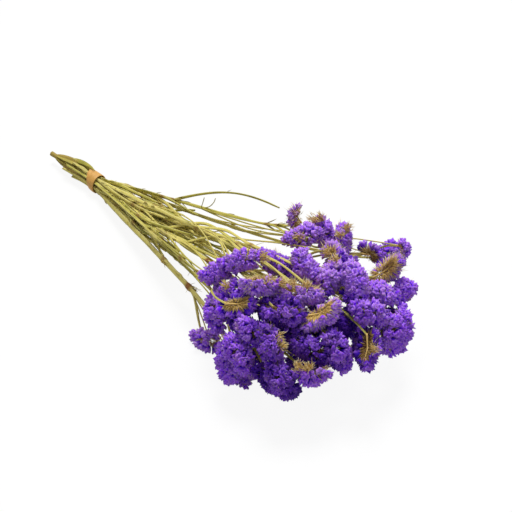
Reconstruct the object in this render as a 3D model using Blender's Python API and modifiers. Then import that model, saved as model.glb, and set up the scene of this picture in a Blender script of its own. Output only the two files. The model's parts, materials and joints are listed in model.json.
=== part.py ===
"""A bunch of dried statice, lying on a surface.

Fifteen winged stems run through a rubber band and fan out towards +X.
Each stem forks into a few stalks, and each stalk carries one arched flower spike.
The bunch rests on z = 0: on the rubber band and on its lowest flower spikes,
which are pressed flat underneath. Metres, +Z up.
"""
import math

import bmesh
import bpy
import numpy as np

MM = 0.001

# Driving dimensions
STEM_RADIUS = 2.5 * MM          # a stem with its low wings, where it is thickest
STEM_TIP_RADIUS = 1.5 * MM      # the same stem below its flower spike
GRIP_RADIUS = 1.9 * MM          # the same stem in the band and in its tail, pressed slim
STALK_RADIUS = 1.3 * MM         # a side stalk
STEM_PITCH = 4.3 * MM           # from one stem to the next inside the band
SLOTS_PER_RING = (1, 5, 9)      # stems in the band: one, a ring of 5, a ring of 9
BUNDLE_TWIST = math.radians(22)  # turn of the rings in the band about the bundle
BAND_WIDTH = 15 * MM
BAND_THICKNESS = 1.2 * MM
BAND_INNER_RADIUS = 10.8 * MM
BAND_STEPS = 28
TIE_HEIGHT = BAND_INNER_RADIUS + BAND_THICKNESS
TIE_SIDE = 2.6 * MM             # how far aside of the bunch's line the band sits
TAIL_LEAN = 0.03                # how far a tail leans back to that line, per length
TAIL_FLARE = 1.18               # the cut ends stand this much further apart
GRIP_LENGTH = 14 * MM           # the stems stay straight this far past the band's middle
SPIKE_RADIUS = 11.5 * MM         # half the width across a flower spike
SPIKE_STUB = 0.42                # a short spike's radius, as a share of its length
SPIKE_CROWN = 10.5 * MM           # from a spike's axis out to its petals
SPIKE_BACK = 8 * MM             # from the axis back to its bracts
SPIKE_BEND = 4 * MM             # how far the ends of a 40 mm spike droop
PRESSED = 8.6 * MM              # height of a spike's axis where it lies on the surface
SPIKE_BLUNT = 2.4                # 2 would make a spike's long section an ellipse
FOOT_SHARE = 0.28               # a stalk ends this far below a spike's middle, per length
STEM_POINTS, STALK_POINTS, SHOOT_POINTS = 18, 8, 10
GAP = 0.5 * MM                  # clearance between touching pieces
CENTRE_X, CENTRE_Y = 202.8 * MM, 7.5 * MM   # middle of the whole bunch, seen from the band

# One row a stem, in the order of the slots inside the band: the length cut off behind
# the band (mm), how far before its flowers its side stalks fork off (mm), then its flower
# spikes. A spike is the place of its middle (mm from the band's middle, z from the
# surface), its length (mm), and three angles in degrees: the way its petals face, as a
# turn about Z and a tilt up, and the roll of its long axis.
STEMS = (
    (77, 80, ((436, 10, 93), 38, -45, 20, -20), ((466, 17, 74), 42, -5, 10, -105),
             ((468, 33, 63), 46, 15, 15, -125)),
    (64, 100, ((417, 70, 91), 46, 80, -35, 110), ((440, 68, 77), 34, -10, 30, -5),
              ((356, 68, 99), 34, 20, 30, 40)),
    (62, 70, ((399, 14, 94), 34, -30, 45, 50), ((366, -3, 103), 42, -55, 45, -55),
             ((373, 34, 100), 32, 75, -40, -170)),
    (52, 70, ((383, -40, 108), 48, -45, 5, -5), ((355, -64, 107), 36, -45, -5, 0),
             ((396, -72, 98), 40, -50, -20, 0)),
    (56, 95, ((448, -50, 78), 44, -25, 25, -80), ((430, -68, 82), 38, -55, 30, -25),
             ((416, -44, 102), 42, 25, -55, 60)),
    (68, 75, ((432, 36, 91), 38, -35, 60, -20), ((421, 8, 102), 42, -55, 40, -70),
             ((427, -22, 80), 34, -45, 5, -35)),
    (36, 110, ((350, 78, 10), 40, 100, 10, 40), ((424, 62, 8), 42, 60, 20, 60)),
    (44, 60, ((374, 123, 59), 34, -5, 70, -20), ((398, 123, 78), 16, 35, 35, -125),
             ((385, 80, 92), 24, 105, 0, -160)),
    (46, 75, ((276, 70, 82), 24, -130, 5, 110), ((328, 68, 90), 40, 10, 50, 65),
             ((316, 43, 96), 36, -65, 50, 25)),
    (38, 85, ((336, -10, 102), 44, -35, 60, -45), ((316, -53, 103), 42, -50, 15, 20),
             ((290, -65, 92), 34, -60, 25, -150)),
    (44, 80, ((332, -71, 92), 34, -55, 35, 15), ((345, -81, 93), 36, 85, -60, 135),
             ((309, -85, 70), 44, -90, 35, -60)),
    (48, 48, ((354, -115, 41), 42, -85, 25, -55), ((354, -103, 18), 44, -60, 15, -65),
             ((293, -89, 9), 28, -65, 25, -10)),
    (34, 100, ((402, -94, 88), 40, -95, 20, -45), ((360, -87, 83), 38, -55, 45, -25),
              ((367, -109, 64), 44, -45, 40, -60)),
    (38, 90, ((441, -85, 66), 36, -45, -25, 0), ((420, -101, 70), 40, -45, 25, -60),
             ((413, -101, 43), 52, -50, 10, -35)),
    (46, 105, ((468, -18, 74), 42, 65, -60, -145), ((424, 24, 16), 44, 10, 10, 80),
              ((400, -38, 10), 42, -40, 15, 10)),
)
# The stems that bow aside between the band and their flowers: the stem (counted from 0)
# and how far its middle moves (mm).
BOWED = {3: (0, 0, -16), 8: (0, 4, 2), 11: (0, -4, 0)}
# The bare shoot that arches over the top: its stem (counted from 0), then its points.
BARE_SHOOT_STEM = 8
BARE_SHOOT = ((104, 30, 44), (126, 46, 56), (196, 78, 66), (240, 86, 63))


def unit(vectors):
    vectors = np.asarray(vectors, float)
    return vectors / np.linalg.norm(vectors, axis=-1, keepdims=True)


def smooth_curve(start, start_way, end, end_way, count, reach=0.36):
    """Cubic Bezier curve from start to end that leaves and arrives along the two ways."""
    t = np.linspace(0, 1, count)[:, None]
    length = np.linalg.norm(end - start)
    near = start + unit(start_way) * length * reach
    far = end - unit(end_way) * length * reach
    return ((1 - t) ** 3 * start + 3 * (1 - t) ** 2 * t * near
            + 3 * (1 - t) * t ** 2 * far + t ** 3 * end)


def band_slots():
    """Where each stem passes through the band: one in the middle, then two rings."""
    slots = []
    for ring, count in enumerate(SLOTS_PER_RING):
        for step in range(count):
            angle = math.tau * step / count - BUNDLE_TWIST
            slots.append((0.0, TIE_SIDE + ring * STEM_PITCH * math.cos(angle),
                          TIE_HEIGHT + ring * STEM_PITCH * math.sin(angle)))
    return np.array(slots)


def spike_frame(turn, tilt, roll):
    """The ways a spike's long axis, its side and its petals point."""
    turn, tilt, roll = map(math.radians, (turn, tilt, roll))
    face = np.array([math.cos(tilt) * math.cos(turn), math.cos(tilt) * math.sin(turn),
                     math.sin(tilt)])
    level = unit(np.cross([0, 0, 1], face))
    upward = np.cross(face, level)
    along = level * math.cos(roll) + upward * math.sin(roll)
    return along, np.cross(face, along), face


class Spike:
    """One flower spike: its place, its frame and its arched axis."""

    def __init__(self, row):
        place, length, turn, tilt, roll = row
        self.middle = np.array(place) * MM
        self.length = length * MM
        self.radius = min(SPIKE_RADIUS, SPIKE_STUB * self.length)
        self.scale = self.radius / SPIKE_RADIUS
        self.along, self.side, self.face = spike_frame(turn, tilt, roll)

    def droop(self, along):
        """How far the axis drops behind its middle, as a parabola along the spike."""
        return -SPIKE_BEND * (along / (20 * MM)) ** 2

    def axis(self):
        half = self.length / 2 - self.radius
        along = np.array([-half, 0, half])[:, None]
        return self.middle + self.along * along + self.face * self.droop(along)

    def foot(self):
        """Where the stalk ends, just clear of the bracts at the spike's lower end."""
        back = -self.length * FOOT_SHARE
        depth = self.droop(back) - SPIKE_BACK * self.scale - STEM_TIP_RADIUS - GAP
        return self.middle + self.along * back + self.face * depth

    def way_in(self):
        return unit(self.along * 0.6 + self.face * 0.5)


class Strand:
    """A stem or stalk: a row of points, its radius along it, and what holds its ends."""

    def __init__(self, points, radii, stem, spike=None, parent=None, leaves_at=0):
        self.points, self.radii = points, radii
        self.stem, self.spike, self.parent, self.leaves_at = stem, spike, parent, leaves_at
        self.shift = np.zeros_like(points)


def lay_out():
    """Rows of points for every stem and stalk before any of them is moved aside."""
    spikes, strands = [], []
    for stem, (slot, row) in enumerate(zip(band_slots(), STEMS)):
        cut, fork_run, *spike_rows = row
        first = len(spikes)
        spikes += [Spike(spike_row) for spike_row in spike_rows]
        leader = spikes[first]
        forward = np.array([1.0, 0, 0])
        grip = slot + forward * GRIP_LENGTH
        middle = np.array([0, TIE_SIDE, TIE_HEIGHT])
        tail = middle + (slot - middle) * TAIL_FLARE - np.array([1, TAIL_LEAN, 0]) * cut * MM
        way = unit(leader.foot() - grip)
        main = smooth_curve(grip, forward * 0.2 + way * 0.8, leader.foot(),
                            way * 0.6 + leader.way_in() * 0.4, STEM_POINTS, reach=0.25)
        bow = np.sin(np.linspace(0, math.pi, len(main)))[:, None] ** 2
        main = main + bow * np.array(BOWED.get(stem, (0, 0, 0))) * MM
        points = np.vstack([tail, slot - forward * GRIP_LENGTH, main])
        radii = np.linspace(STEM_RADIUS, STEM_TIP_RADIUS, len(points))
        radii[:3] = GRIP_RADIUS
        strands.append(Strand(points, radii, stem, spike=first))
        trunk = len(strands) - 1
        for spike in range(first + 1, len(spikes)):
            foot = spikes[spike].foot()
            leaves_at = int(np.argmin(abs(points[:, 0] - (foot[0] - fork_run * MM))))
            start = points[leaves_at]
            side_way = points[leaves_at + 1] - start
            stalk = smooth_curve(start, side_way, foot,
                                 unit(foot - start) * 0.6 + spikes[spike].way_in() * 0.4, STALK_POINTS)
            radii = np.full(len(stalk), STALK_RADIUS)
            strands.append(Strand(stalk, radii, stem, spike, trunk, leaves_at))
        if stem == BARE_SHOOT_STEM:
            strands.append(bare_shoot(points, stem, trunk))
    return spikes, strands


def bare_shoot(points, stem, trunk):
    """A flowerless shoot that leaves its stem and arches over the bunch."""
    guides = np.array(BARE_SHOOT) * MM
    leaves_at = int(np.argmin(abs(points[:, 0] - guides[0, 0])))
    route = smooth_curve(points[leaves_at], guides[1] - guides[0],
                         guides[-1], guides[-1] - guides[-2], SHOOT_POINTS, reach=0.4)
    radii = np.linspace(STALK_RADIUS, 0.8 * MM, len(route))
    return Strand(route, radii, stem, None, trunk, leaves_at)


def nearest_points(start_a, end_a, start_b, end_b):
    """Where two rows of segments come nearest, as shares s and t along each of them."""
    run_a, run_b, apart = end_a - start_a, end_b - start_b, start_a - start_b
    aa, bb = (run_a ** 2).sum(-1), (run_b ** 2).sum(-1)
    ab, a, b = (run_a * run_b).sum(-1), (run_a * apart).sum(-1), (run_b * apart).sum(-1)
    spread = np.maximum(aa * bb - ab ** 2, 1e-18)
    s = np.clip((ab * b - a * bb) / spread, 0, 1)
    t = np.clip((ab * s + b) / bb, 0, 1)
    s = np.clip((ab * t - a) / aa, 0, 1)
    return s, t


def place_strands(spikes, strands, moved):
    """Each strand's points with the shifts of its spike and of the stem it grows from."""
    placed = []
    for strand in strands:
        share = np.linspace(0, 1, len(strand.points))[:, None]
        points = strand.points + strand.shift
        if strand.spike is not None:
            points = points + moved[strand.spike] * share ** 2
        if strand.parent is not None:
            held = placed[strand.parent][strand.leaves_at]
            points = points + (held - strand.points[0]) * (1 - share) ** 2
        placed.append(points)
    return placed


def settle(rounds=120):
    """Lays the bunch out and moves whatever touches apart, a little each round.

    Spikes and strands are rows of capsules. Two capsules of different pieces that are
    nearer than their radii and the gap are pushed apart by half of what is missing.
    A strand then smooths its own shift, and its ends stay on its spike and its stem.
    """
    spikes, strands = lay_out()
    moved = np.zeros((len(spikes), 3))
    owner, kind, index, share, radius = capsule_table(spikes, strands)
    pairs_a, pairs_b = capsule_pairs(owner, kind, index, strands)
    for step in range(rounds):
        placed = place_strands(spikes, strands, moved)
        axes = [spike.axis() + shift for spike, shift in zip(spikes, moved)]
        starts = np.vstack([row[:-1] for row in placed + axes])
        ends = np.vstack([row[1:] for row in placed + axes])
        s, t = nearest_points(starts[pairs_a], ends[pairs_a], starts[pairs_b], ends[pairs_b])
        near_a = starts[pairs_a] + (ends[pairs_a] - starts[pairs_a]) * s[:, None]
        near_b = starts[pairs_b] + (ends[pairs_b] - starts[pairs_b]) * t[:, None]
        apart = near_a - near_b
        distance = np.maximum(np.linalg.norm(apart, axis=1), 1e-6)
        missing = radius[pairs_a] + radius[pairs_b] + GAP - distance
        touching = missing > 0
        push = apart / distance[:, None] * missing[:, None] * 0.5
        push_strands(strands, kind, index, share, pairs_a, push, touching, 1)
        push_strands(strands, kind, index, share, pairs_b, push, touching, -1)
        for pairs, sign in ((pairs_a, 1), (pairs_b, -1)):
            hit = touching & (kind[pairs] == 1)
            np.add.at(moved, index[pairs][hit], sign * 0.5 * push[hit])
        for spike, shift, axis in zip(spikes, moved, axes):
            shift[2] += max(0.0, PRESSED - axis[:, 2].min())
        smooth_shifts(strands, placed, moved)
    placed = place_strands(spikes, strands, moved)
    for strand, points in zip(strands, placed):
        points[:, 2] = np.maximum(points[:, 2], strand.radii)
    for spike, shift in zip(spikes, moved):
        spike.middle = spike.middle + shift
    return spikes, strands, placed, missing.max()


def capsule_table(spikes, strands):
    """Per capsule: the piece that owns it, 0 for a strand or 1 for a spike, its row, its
    place in that row and its radius."""
    owner, kind, index, share, radius = [], [], [], [], []
    for row, strand in enumerate(strands):
        for segment in range(len(strand.points) - 1):
            owner.append(strand.stem)
            kind.append(0)
            index.append(row)
            share.append(segment)
            radius.append(strand.radii[segment])
    for row, spike in enumerate(spikes):
        for segment in range(2):
            owner.append(len(STEMS) + row)
            kind.append(1)
            index.append(row)
            share.append(segment)
            radius.append(spike.radius)
    return map(np.array, (owner, kind, index, share, radius))


def capsule_pairs(owner, kind, index, strands):
    """Pairs of capsules of different pieces, but not a stalk with the spike it carries."""
    pairs_a, pairs_b = np.triu_indices(len(owner), 1)
    carries = np.array([-1 if strand.spike is None else strand.spike for strand in strands])
    own = ((kind[pairs_a] == 0) & (kind[pairs_b] == 1)
           & (carries[index[pairs_a] * (kind[pairs_a] == 0)] == index[pairs_b]))
    keep = (owner[pairs_a] != owner[pairs_b]) & ~own
    return pairs_a[keep], pairs_b[keep]


def push_strands(strands, kind, index, share, pairs, push, touching, sign):
    """Adds each push to the two points of the strand's segment that it acts on."""
    hit = touching & (kind[pairs] == 0)
    rows, segments, pushes = index[pairs][hit], share[pairs][hit], sign * push[hit]
    for row in np.unique(rows):
        mine = rows == row
        shift = strands[row].shift
        np.add.at(shift, segments[mine], 0.5 * pushes[mine])
        np.add.at(shift, segments[mine] + 1, 0.5 * pushes[mine])


def smooth_shifts(strands, placed, moved):
    """Evens each strand's own shift along it and keeps it off the floor.

    Its root is held, and what pushes its other end moves the spike it carries.
    """
    for strand, points in zip(strands, placed):
        shift = strand.shift
        shift[:, 2] += np.maximum(0, strand.radii - points[:, 2])
        shift[1:-1] = shift[1:-1] * 0.5 + (shift[:-2] + shift[2:]) * 0.25
        held = 3 if strand.parent is None else 1
        shift[:held] = 0
        if strand.spike is not None:
            moved[strand.spike] += 0.5 * shift[-1]
            shift[-1] = 0


def to_scene(points):
    """From the band's own frame to the bunch's: its middle at x = y = 0."""
    return np.asarray(points) - np.array([CENTRE_X, CENTRE_Y, 0])


def material(name, colour, roughness):
    made = bpy.data.materials.new(name)
    made.use_nodes = True
    shader = made.node_tree.nodes["Principled BSDF"]
    shader.inputs["Base Color"].default_value = (*colour, 1)
    shader.inputs["Roughness"].default_value = roughness
    shader.inputs["Metallic"].default_value = 0.0
    return made


def tube(name, points, radii):
    """A six-sided closed tube along the points, as a mesh object."""
    curve = bpy.data.curves.new(name, "CURVE")
    curve.dimensions = "3D"
    curve.bevel_depth = 1.0
    curve.bevel_resolution = 1
    curve.use_fill_caps = True
    spline = curve.splines.new("POLY")
    spline.points.add(len(points) - 1)
    for point, place, radius in zip(spline.points, to_scene(points), radii):
        point.co = (*place, 1)
        point.radius = radius
    guide = bpy.data.objects.new(name + "_curve", curve)
    bpy.context.scene.collection.objects.link(guide)
    depsgraph = bpy.context.evaluated_depsgraph_get()
    mesh = bpy.data.meshes.new_from_object(guide.evaluated_get(depsgraph))
    bpy.data.objects.remove(guide)
    bpy.data.curves.remove(curve)
    work = bmesh.new()
    work.from_mesh(mesh)
    bmesh.ops.remove_doubles(work, verts=work.verts, dist=0.00001)
    work.to_mesh(mesh)
    work.free()
    mesh.name = name
    return bpy.data.objects.new(name, mesh)


def join_solids(target, others):
    """Joins the other solids to the target with Boolean unions, and removes them."""
    depsgraph = bpy.context.evaluated_depsgraph_get()
    for other in others:
        union = target.modifiers.new("join", "BOOLEAN")
        union.operation = "UNION"
        union.solver = "EXACT"
        union.object = other
        depsgraph.update()
        joined = bpy.data.meshes.new_from_object(target.evaluated_get(depsgraph))
        target.modifiers.clear()
        target.data = joined
    for other in others:
        bpy.data.objects.remove(other)


def build_stem(number, strands, placed, collection, finish):
    """One stem with the side stalks that fork off it, as one grown piece."""
    name = f"stem_{number + 1:02d}"
    tubes = []
    for row, (strand, points) in enumerate(zip(strands, placed)):
        if strand.stem == number:
            tubes.append(tube(f"{name}_{row}", points, strand.radii))
            collection.objects.link(tubes[-1])
    join_solids(tubes[0], tubes[1:])
    tubes[0].name = name
    tubes[0].data.name = name
    tubes[0].data.materials.clear()
    tubes[0].data.materials.append(finish)


def build_spike(number, spike, collection, finish, floor):
    """One flower spike: a ball drawn out along an arched axis, flatter at its back."""
    work = bmesh.new()
    bmesh.ops.create_uvsphere(work, u_segments=10, v_segments=8, radius=1.0)
    across = spike.radius * 0.97
    for vert in work.verts:
        side, height, along = vert.co
        blunt = (1 - abs(along) ** SPIKE_BLUNT) ** (1 / SPIKE_BLUNT)
        blunt /= max(1e-6, math.hypot(side, height))
        side, height, along = side * blunt, height * blunt, along * spike.length / 2
        lift = (SPIKE_CROWN if height > 0 else SPIKE_BACK) * spike.scale * height
        lift += float(spike.droop(along))
        place = (spike.middle + spike.along * along + spike.side * side * across
                 + spike.face * lift)
        vert.co = to_scene(place)
    name = f"flower_spike_{number + 1:02d}"
    mesh = bpy.data.meshes.new(name)
    work.to_mesh(mesh)
    work.free()
    mesh.materials.append(finish)
    mesh.shade_smooth()
    piece = bpy.data.objects.new(name, mesh)
    collection.objects.link(piece)
    if min((piece.matrix_world @ vert.co).z for vert in mesh.vertices) < 0:
        pressed = piece.modifiers.new("pressed_flat", "BOOLEAN")
        pressed.operation = "DIFFERENCE"
        pressed.solver = "EXACT"
        pressed.object = floor


def build_band(collection, finish):
    """The rubber band: a rounded flat strip turned about the bundle."""
    half, edge = BAND_WIDTH / 2, BAND_THICKNESS * 0.3
    outer = BAND_INNER_RADIUS + BAND_THICKNESS
    profile = ((-half, BAND_INNER_RADIUS), (half, BAND_INNER_RADIUS), (half, outer - edge),
               (half - edge, outer), (-half + edge, outer), (-half, outer - edge))
    mesh = bpy.data.meshes.new("rubber_band")
    rows = len(profile)
    mesh.from_pydata([(x, 0, -r) for x, r in profile],
                     [(row, (row + 1) % rows) for row in range(rows)], [])
    mesh.materials.append(finish)
    band = bpy.data.objects.new("rubber_band", mesh)
    band.location = to_scene((0, TIE_SIDE, TIE_HEIGHT))
    collection.objects.link(band)
    turn = band.modifiers.new("turned", "SCREW")
    turn.axis = "X"
    turn.steps = turn.render_steps = BAND_STEPS
    turn.use_merge_vertices = True
    turn.merge_threshold = 0.00001
    turn.use_normal_calculate = True
    turn.use_smooth_shade = True


def floor_cutter(collection):
    """A block just under the surface that presses the lowest spikes flat."""
    bpy.ops.mesh.primitive_cube_add(size=1)
    cutter = bpy.context.object
    cutter.name = "surface_cutter"
    cutter.scale = (1.0, 1.0, 0.1)
    cutter.location = (0, 0, -0.05)
    cutter.hide_render = True
    cutter.display_type = "WIRE"
    for old in list(cutter.users_collection):
        old.objects.unlink(cutter)
    collection.objects.link(cutter)
    return cutter


def main():
    for thing in list(bpy.data.objects):
        bpy.data.objects.remove(thing)
    parts = bpy.data.collections.new("dried_statice_bunch")
    cutters = bpy.data.collections.new("cutters")
    bpy.context.scene.collection.children.link(parts)
    bpy.context.scene.collection.children.link(cutters)
    stem_finish = material("dried stem", (0.30, 0.24, 0.06), 0.75)
    petal_finish = material("papery calyx", (0.13, 0.04, 0.36), 0.8)
    band_finish = material("natural rubber", (0.60, 0.33, 0.18), 0.6)
    spikes, strands, placed, overlap = settle()
    print("largest overlap left, mm:", round(overlap / MM, 3))
    floor = floor_cutter(cutters)
    build_band(parts, band_finish)
    for number in range(len(STEMS)):
        build_stem(number, strands, placed, parts, stem_finish)
    for number, spike in enumerate(spikes):
        build_spike(number, spike, parts, petal_finish, floor)


main()
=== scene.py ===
"""A bunch of dried statice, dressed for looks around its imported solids.

Run as a script in Blender. The layout rule is the same one that placed the solids, so
every stem and flower spike lands on its own solid, which it then replaces.
"""
import json
import math

import bpy
import numpy as np
from bpy.props import FloatProperty, FloatVectorProperty, IntProperty, PointerProperty
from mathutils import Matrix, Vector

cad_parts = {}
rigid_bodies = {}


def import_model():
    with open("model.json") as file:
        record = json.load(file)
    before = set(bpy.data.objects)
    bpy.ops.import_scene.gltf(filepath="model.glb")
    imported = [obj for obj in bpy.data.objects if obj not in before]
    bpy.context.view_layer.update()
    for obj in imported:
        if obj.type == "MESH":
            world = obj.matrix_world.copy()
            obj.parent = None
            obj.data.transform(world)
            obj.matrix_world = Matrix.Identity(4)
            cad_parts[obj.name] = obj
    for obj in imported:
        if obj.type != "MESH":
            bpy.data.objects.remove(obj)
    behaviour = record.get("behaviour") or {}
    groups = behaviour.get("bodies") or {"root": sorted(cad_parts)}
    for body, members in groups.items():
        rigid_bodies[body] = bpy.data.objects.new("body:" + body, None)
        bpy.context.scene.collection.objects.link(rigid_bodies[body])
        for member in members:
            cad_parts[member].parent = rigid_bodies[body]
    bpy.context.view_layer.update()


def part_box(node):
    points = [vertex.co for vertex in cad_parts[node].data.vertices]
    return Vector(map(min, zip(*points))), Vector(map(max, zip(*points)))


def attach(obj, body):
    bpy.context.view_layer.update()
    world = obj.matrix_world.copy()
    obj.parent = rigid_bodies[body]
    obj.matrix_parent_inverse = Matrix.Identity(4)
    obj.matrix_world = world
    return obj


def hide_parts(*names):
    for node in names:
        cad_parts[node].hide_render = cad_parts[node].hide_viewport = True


bl_info = {
    "name": "Dried Statice Bunch",
    "version": (1, 0, 0),
    "blender": (4, 5, 0),
    "location": "View3D > Sidebar > Statice",
    "description": "Builds the stems, flower spikes and rubber band of a dried bunch",
    "category": "Add Mesh",
}

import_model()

MM = 0.001

# Driving dimensions
STEM_RADIUS = 2.5 * MM          # a stem with its low wings, where it is thickest
STEM_TIP_RADIUS = 1.5 * MM      # the same stem below its flower spike
GRIP_RADIUS = 1.9 * MM          # the same stem in the band and in its tail, pressed slim
STALK_RADIUS = 1.3 * MM         # a side stalk
STEM_PITCH = 4.3 * MM           # from one stem to the next inside the band
SLOTS_PER_RING = (1, 5, 9)      # stems in the band: one, a ring of 5, a ring of 9
BUNDLE_TWIST = math.radians(22)  # turn of the rings in the band about the bundle
BAND_THICKNESS = 1.2 * MM
BAND_INNER_RADIUS = 10.8 * MM
TIE_HEIGHT = BAND_INNER_RADIUS + BAND_THICKNESS
TIE_SIDE = 2.6 * MM             # how far aside of the bunch's line the band sits
TAIL_LEAN = 0.03                # how far a tail leans back to that line, per length
TAIL_FLARE = 1.18               # the cut ends stand this much further apart
GRIP_LENGTH = 14 * MM           # the stems stay straight this far past the band's middle
SPIKE_RADIUS = 11.5 * MM        # half the width across a flower spike
SPIKE_STUB = 0.42               # a short spike's radius, as a share of its length
SPIKE_BACK = 8 * MM             # from a spike's axis back to its bracts
SPIKE_BEND = 4 * MM             # how far the ends of a 40 mm spike droop
PRESSED = 8.6 * MM              # height of a spike's axis where it lies on the surface
FOOT_SHARE = 0.28               # a stalk ends this far below a spike's middle, per length
STEM_POINTS, STALK_POINTS, SHOOT_POINTS = 18, 8, 10
GAP = 0.5 * MM                  # clearance between touching pieces
CENTRE_X, CENTRE_Y = 202.8 * MM, 7.5 * MM   # middle of the whole bunch, seen from the band

# One row a stem, in the order of the slots inside the band: the length cut off behind
# the band (mm), how far before its flowers its side stalks fork off (mm), then its flower
# spikes. A spike is the place of its middle (mm from the band's middle, z from the
# surface), its length (mm), and three angles in degrees: the way its petals face, as a
# turn about Z and a tilt up, and the roll of its long axis.
STEMS = (
    (77, 80, ((436, 10, 93), 38, -45, 20, -20), ((466, 17, 74), 42, -5, 10, -105),
             ((468, 33, 63), 46, 15, 15, -125)),
    (64, 100, ((417, 70, 91), 46, 80, -35, 110), ((440, 68, 77), 34, -10, 30, -5),
              ((356, 68, 99), 34, 20, 30, 40)),
    (62, 70, ((399, 14, 94), 34, -30, 45, 50), ((366, -3, 103), 42, -55, 45, -55),
             ((373, 34, 100), 32, 75, -40, -170)),
    (52, 70, ((383, -40, 108), 48, -45, 5, -5), ((355, -64, 107), 36, -45, -5, 0),
             ((396, -72, 98), 40, -50, -20, 0)),
    (56, 95, ((448, -50, 78), 44, -25, 25, -80), ((430, -68, 82), 38, -55, 30, -25),
             ((416, -44, 102), 42, 25, -55, 60)),
    (68, 75, ((432, 36, 91), 38, -35, 60, -20), ((421, 8, 102), 42, -55, 40, -70),
             ((427, -22, 80), 34, -45, 5, -35)),
    (36, 110, ((350, 78, 10), 40, 100, 10, 40), ((424, 62, 8), 42, 60, 20, 60)),
    (44, 60, ((374, 123, 59), 34, -5, 70, -20), ((398, 123, 78), 16, 35, 35, -125),
             ((385, 80, 92), 24, 105, 0, -160)),
    (46, 75, ((276, 70, 82), 24, -130, 5, 110), ((328, 68, 90), 40, 10, 50, 65),
             ((316, 43, 96), 36, -65, 50, 25)),
    (38, 85, ((336, -10, 102), 44, -35, 60, -45), ((316, -53, 103), 42, -50, 15, 20),
             ((290, -65, 92), 34, -60, 25, -150)),
    (44, 80, ((332, -71, 92), 34, -55, 35, 15), ((345, -81, 93), 36, 85, -60, 135),
             ((309, -85, 70), 44, -90, 35, -60)),
    (48, 48, ((354, -115, 41), 42, -85, 25, -55), ((354, -103, 18), 44, -60, 15, -65),
             ((293, -89, 9), 28, -65, 25, -10)),
    (34, 100, ((402, -94, 88), 40, -95, 20, -45), ((360, -87, 83), 38, -55, 45, -25),
              ((367, -109, 64), 44, -45, 40, -60)),
    (38, 90, ((441, -85, 66), 36, -45, -25, 0), ((420, -101, 70), 40, -45, 25, -60),
             ((413, -101, 43), 52, -50, 10, -35)),
    (46, 105, ((468, -18, 74), 42, 65, -60, -145), ((424, 24, 16), 44, 10, 10, 80),
              ((400, -38, 10), 42, -40, 15, 10)),
)
# The stems that bow aside between the band and their flowers: the stem (counted from 0)
# and how far its middle moves (mm).
BOWED = {3: (0, 0, -16), 8: (0, 4, 2), 11: (0, -4, 0)}
# The bare shoot that arches over the top: its stem (counted from 0), then its points.
BARE_SHOOT_STEM = 8
BARE_SHOOT = ((104, 30, 44), (126, 46, 56), (196, 78, 66), (240, 86, 63))


def unit(vectors):
    vectors = np.asarray(vectors, float)
    return vectors / np.linalg.norm(vectors, axis=-1, keepdims=True)


def smooth_curve(start, start_way, end, end_way, count, reach=0.36):
    """Cubic Bezier curve from start to end that leaves and arrives along the two ways."""
    t = np.linspace(0, 1, count)[:, None]
    length = np.linalg.norm(end - start)
    near = start + unit(start_way) * length * reach
    far = end - unit(end_way) * length * reach
    return ((1 - t) ** 3 * start + 3 * (1 - t) ** 2 * t * near
            + 3 * (1 - t) * t ** 2 * far + t ** 3 * end)


def band_slots():
    """Where each stem passes through the band: one in the middle, then two rings."""
    slots = []
    for ring, count in enumerate(SLOTS_PER_RING):
        for step in range(count):
            angle = math.tau * step / count - BUNDLE_TWIST
            slots.append((0.0, TIE_SIDE + ring * STEM_PITCH * math.cos(angle),
                          TIE_HEIGHT + ring * STEM_PITCH * math.sin(angle)))
    return np.array(slots)


def spike_frame(turn, tilt, roll):
    """The ways a spike's long axis, its side and its petals point."""
    turn, tilt, roll = map(math.radians, (turn, tilt, roll))
    face = np.array([math.cos(tilt) * math.cos(turn), math.cos(tilt) * math.sin(turn),
                     math.sin(tilt)])
    level = unit(np.cross([0, 0, 1], face))
    upward = np.cross(face, level)
    along = level * math.cos(roll) + upward * math.sin(roll)
    return along, np.cross(face, along), face


class Spike:
    """One flower spike: its place, its frame and its arched axis."""

    def __init__(self, row):
        place, length, turn, tilt, roll = row
        self.middle = np.array(place) * MM
        self.length = length * MM
        self.radius = min(SPIKE_RADIUS, SPIKE_STUB * self.length)
        self.scale = self.radius / SPIKE_RADIUS
        self.along, self.side, self.face = spike_frame(turn, tilt, roll)

    def droop(self, along):
        """How far the axis drops behind its middle, as a parabola along the spike."""
        return -SPIKE_BEND * (along / (20 * MM)) ** 2

    def axis(self):
        half = self.length / 2 - self.radius
        along = np.array([-half, 0, half])[:, None]
        return self.middle + self.along * along + self.face * self.droop(along)

    def foot(self):
        """Where the stalk ends, just clear of the bracts at the spike's lower end."""
        back = -self.length * FOOT_SHARE
        depth = self.droop(back) - SPIKE_BACK * self.scale - STEM_TIP_RADIUS - GAP
        return self.middle + self.along * back + self.face * depth

    def way_in(self):
        return unit(self.along * 0.6 + self.face * 0.5)


class Strand:
    """A stem or stalk: a row of points, its radius along it, and what holds its ends."""

    def __init__(self, points, radii, stem, spike=None, parent=None, leaves_at=0):
        self.points, self.radii = points, radii
        self.stem, self.spike, self.parent, self.leaves_at = stem, spike, parent, leaves_at
        self.shift = np.zeros_like(points)


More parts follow.
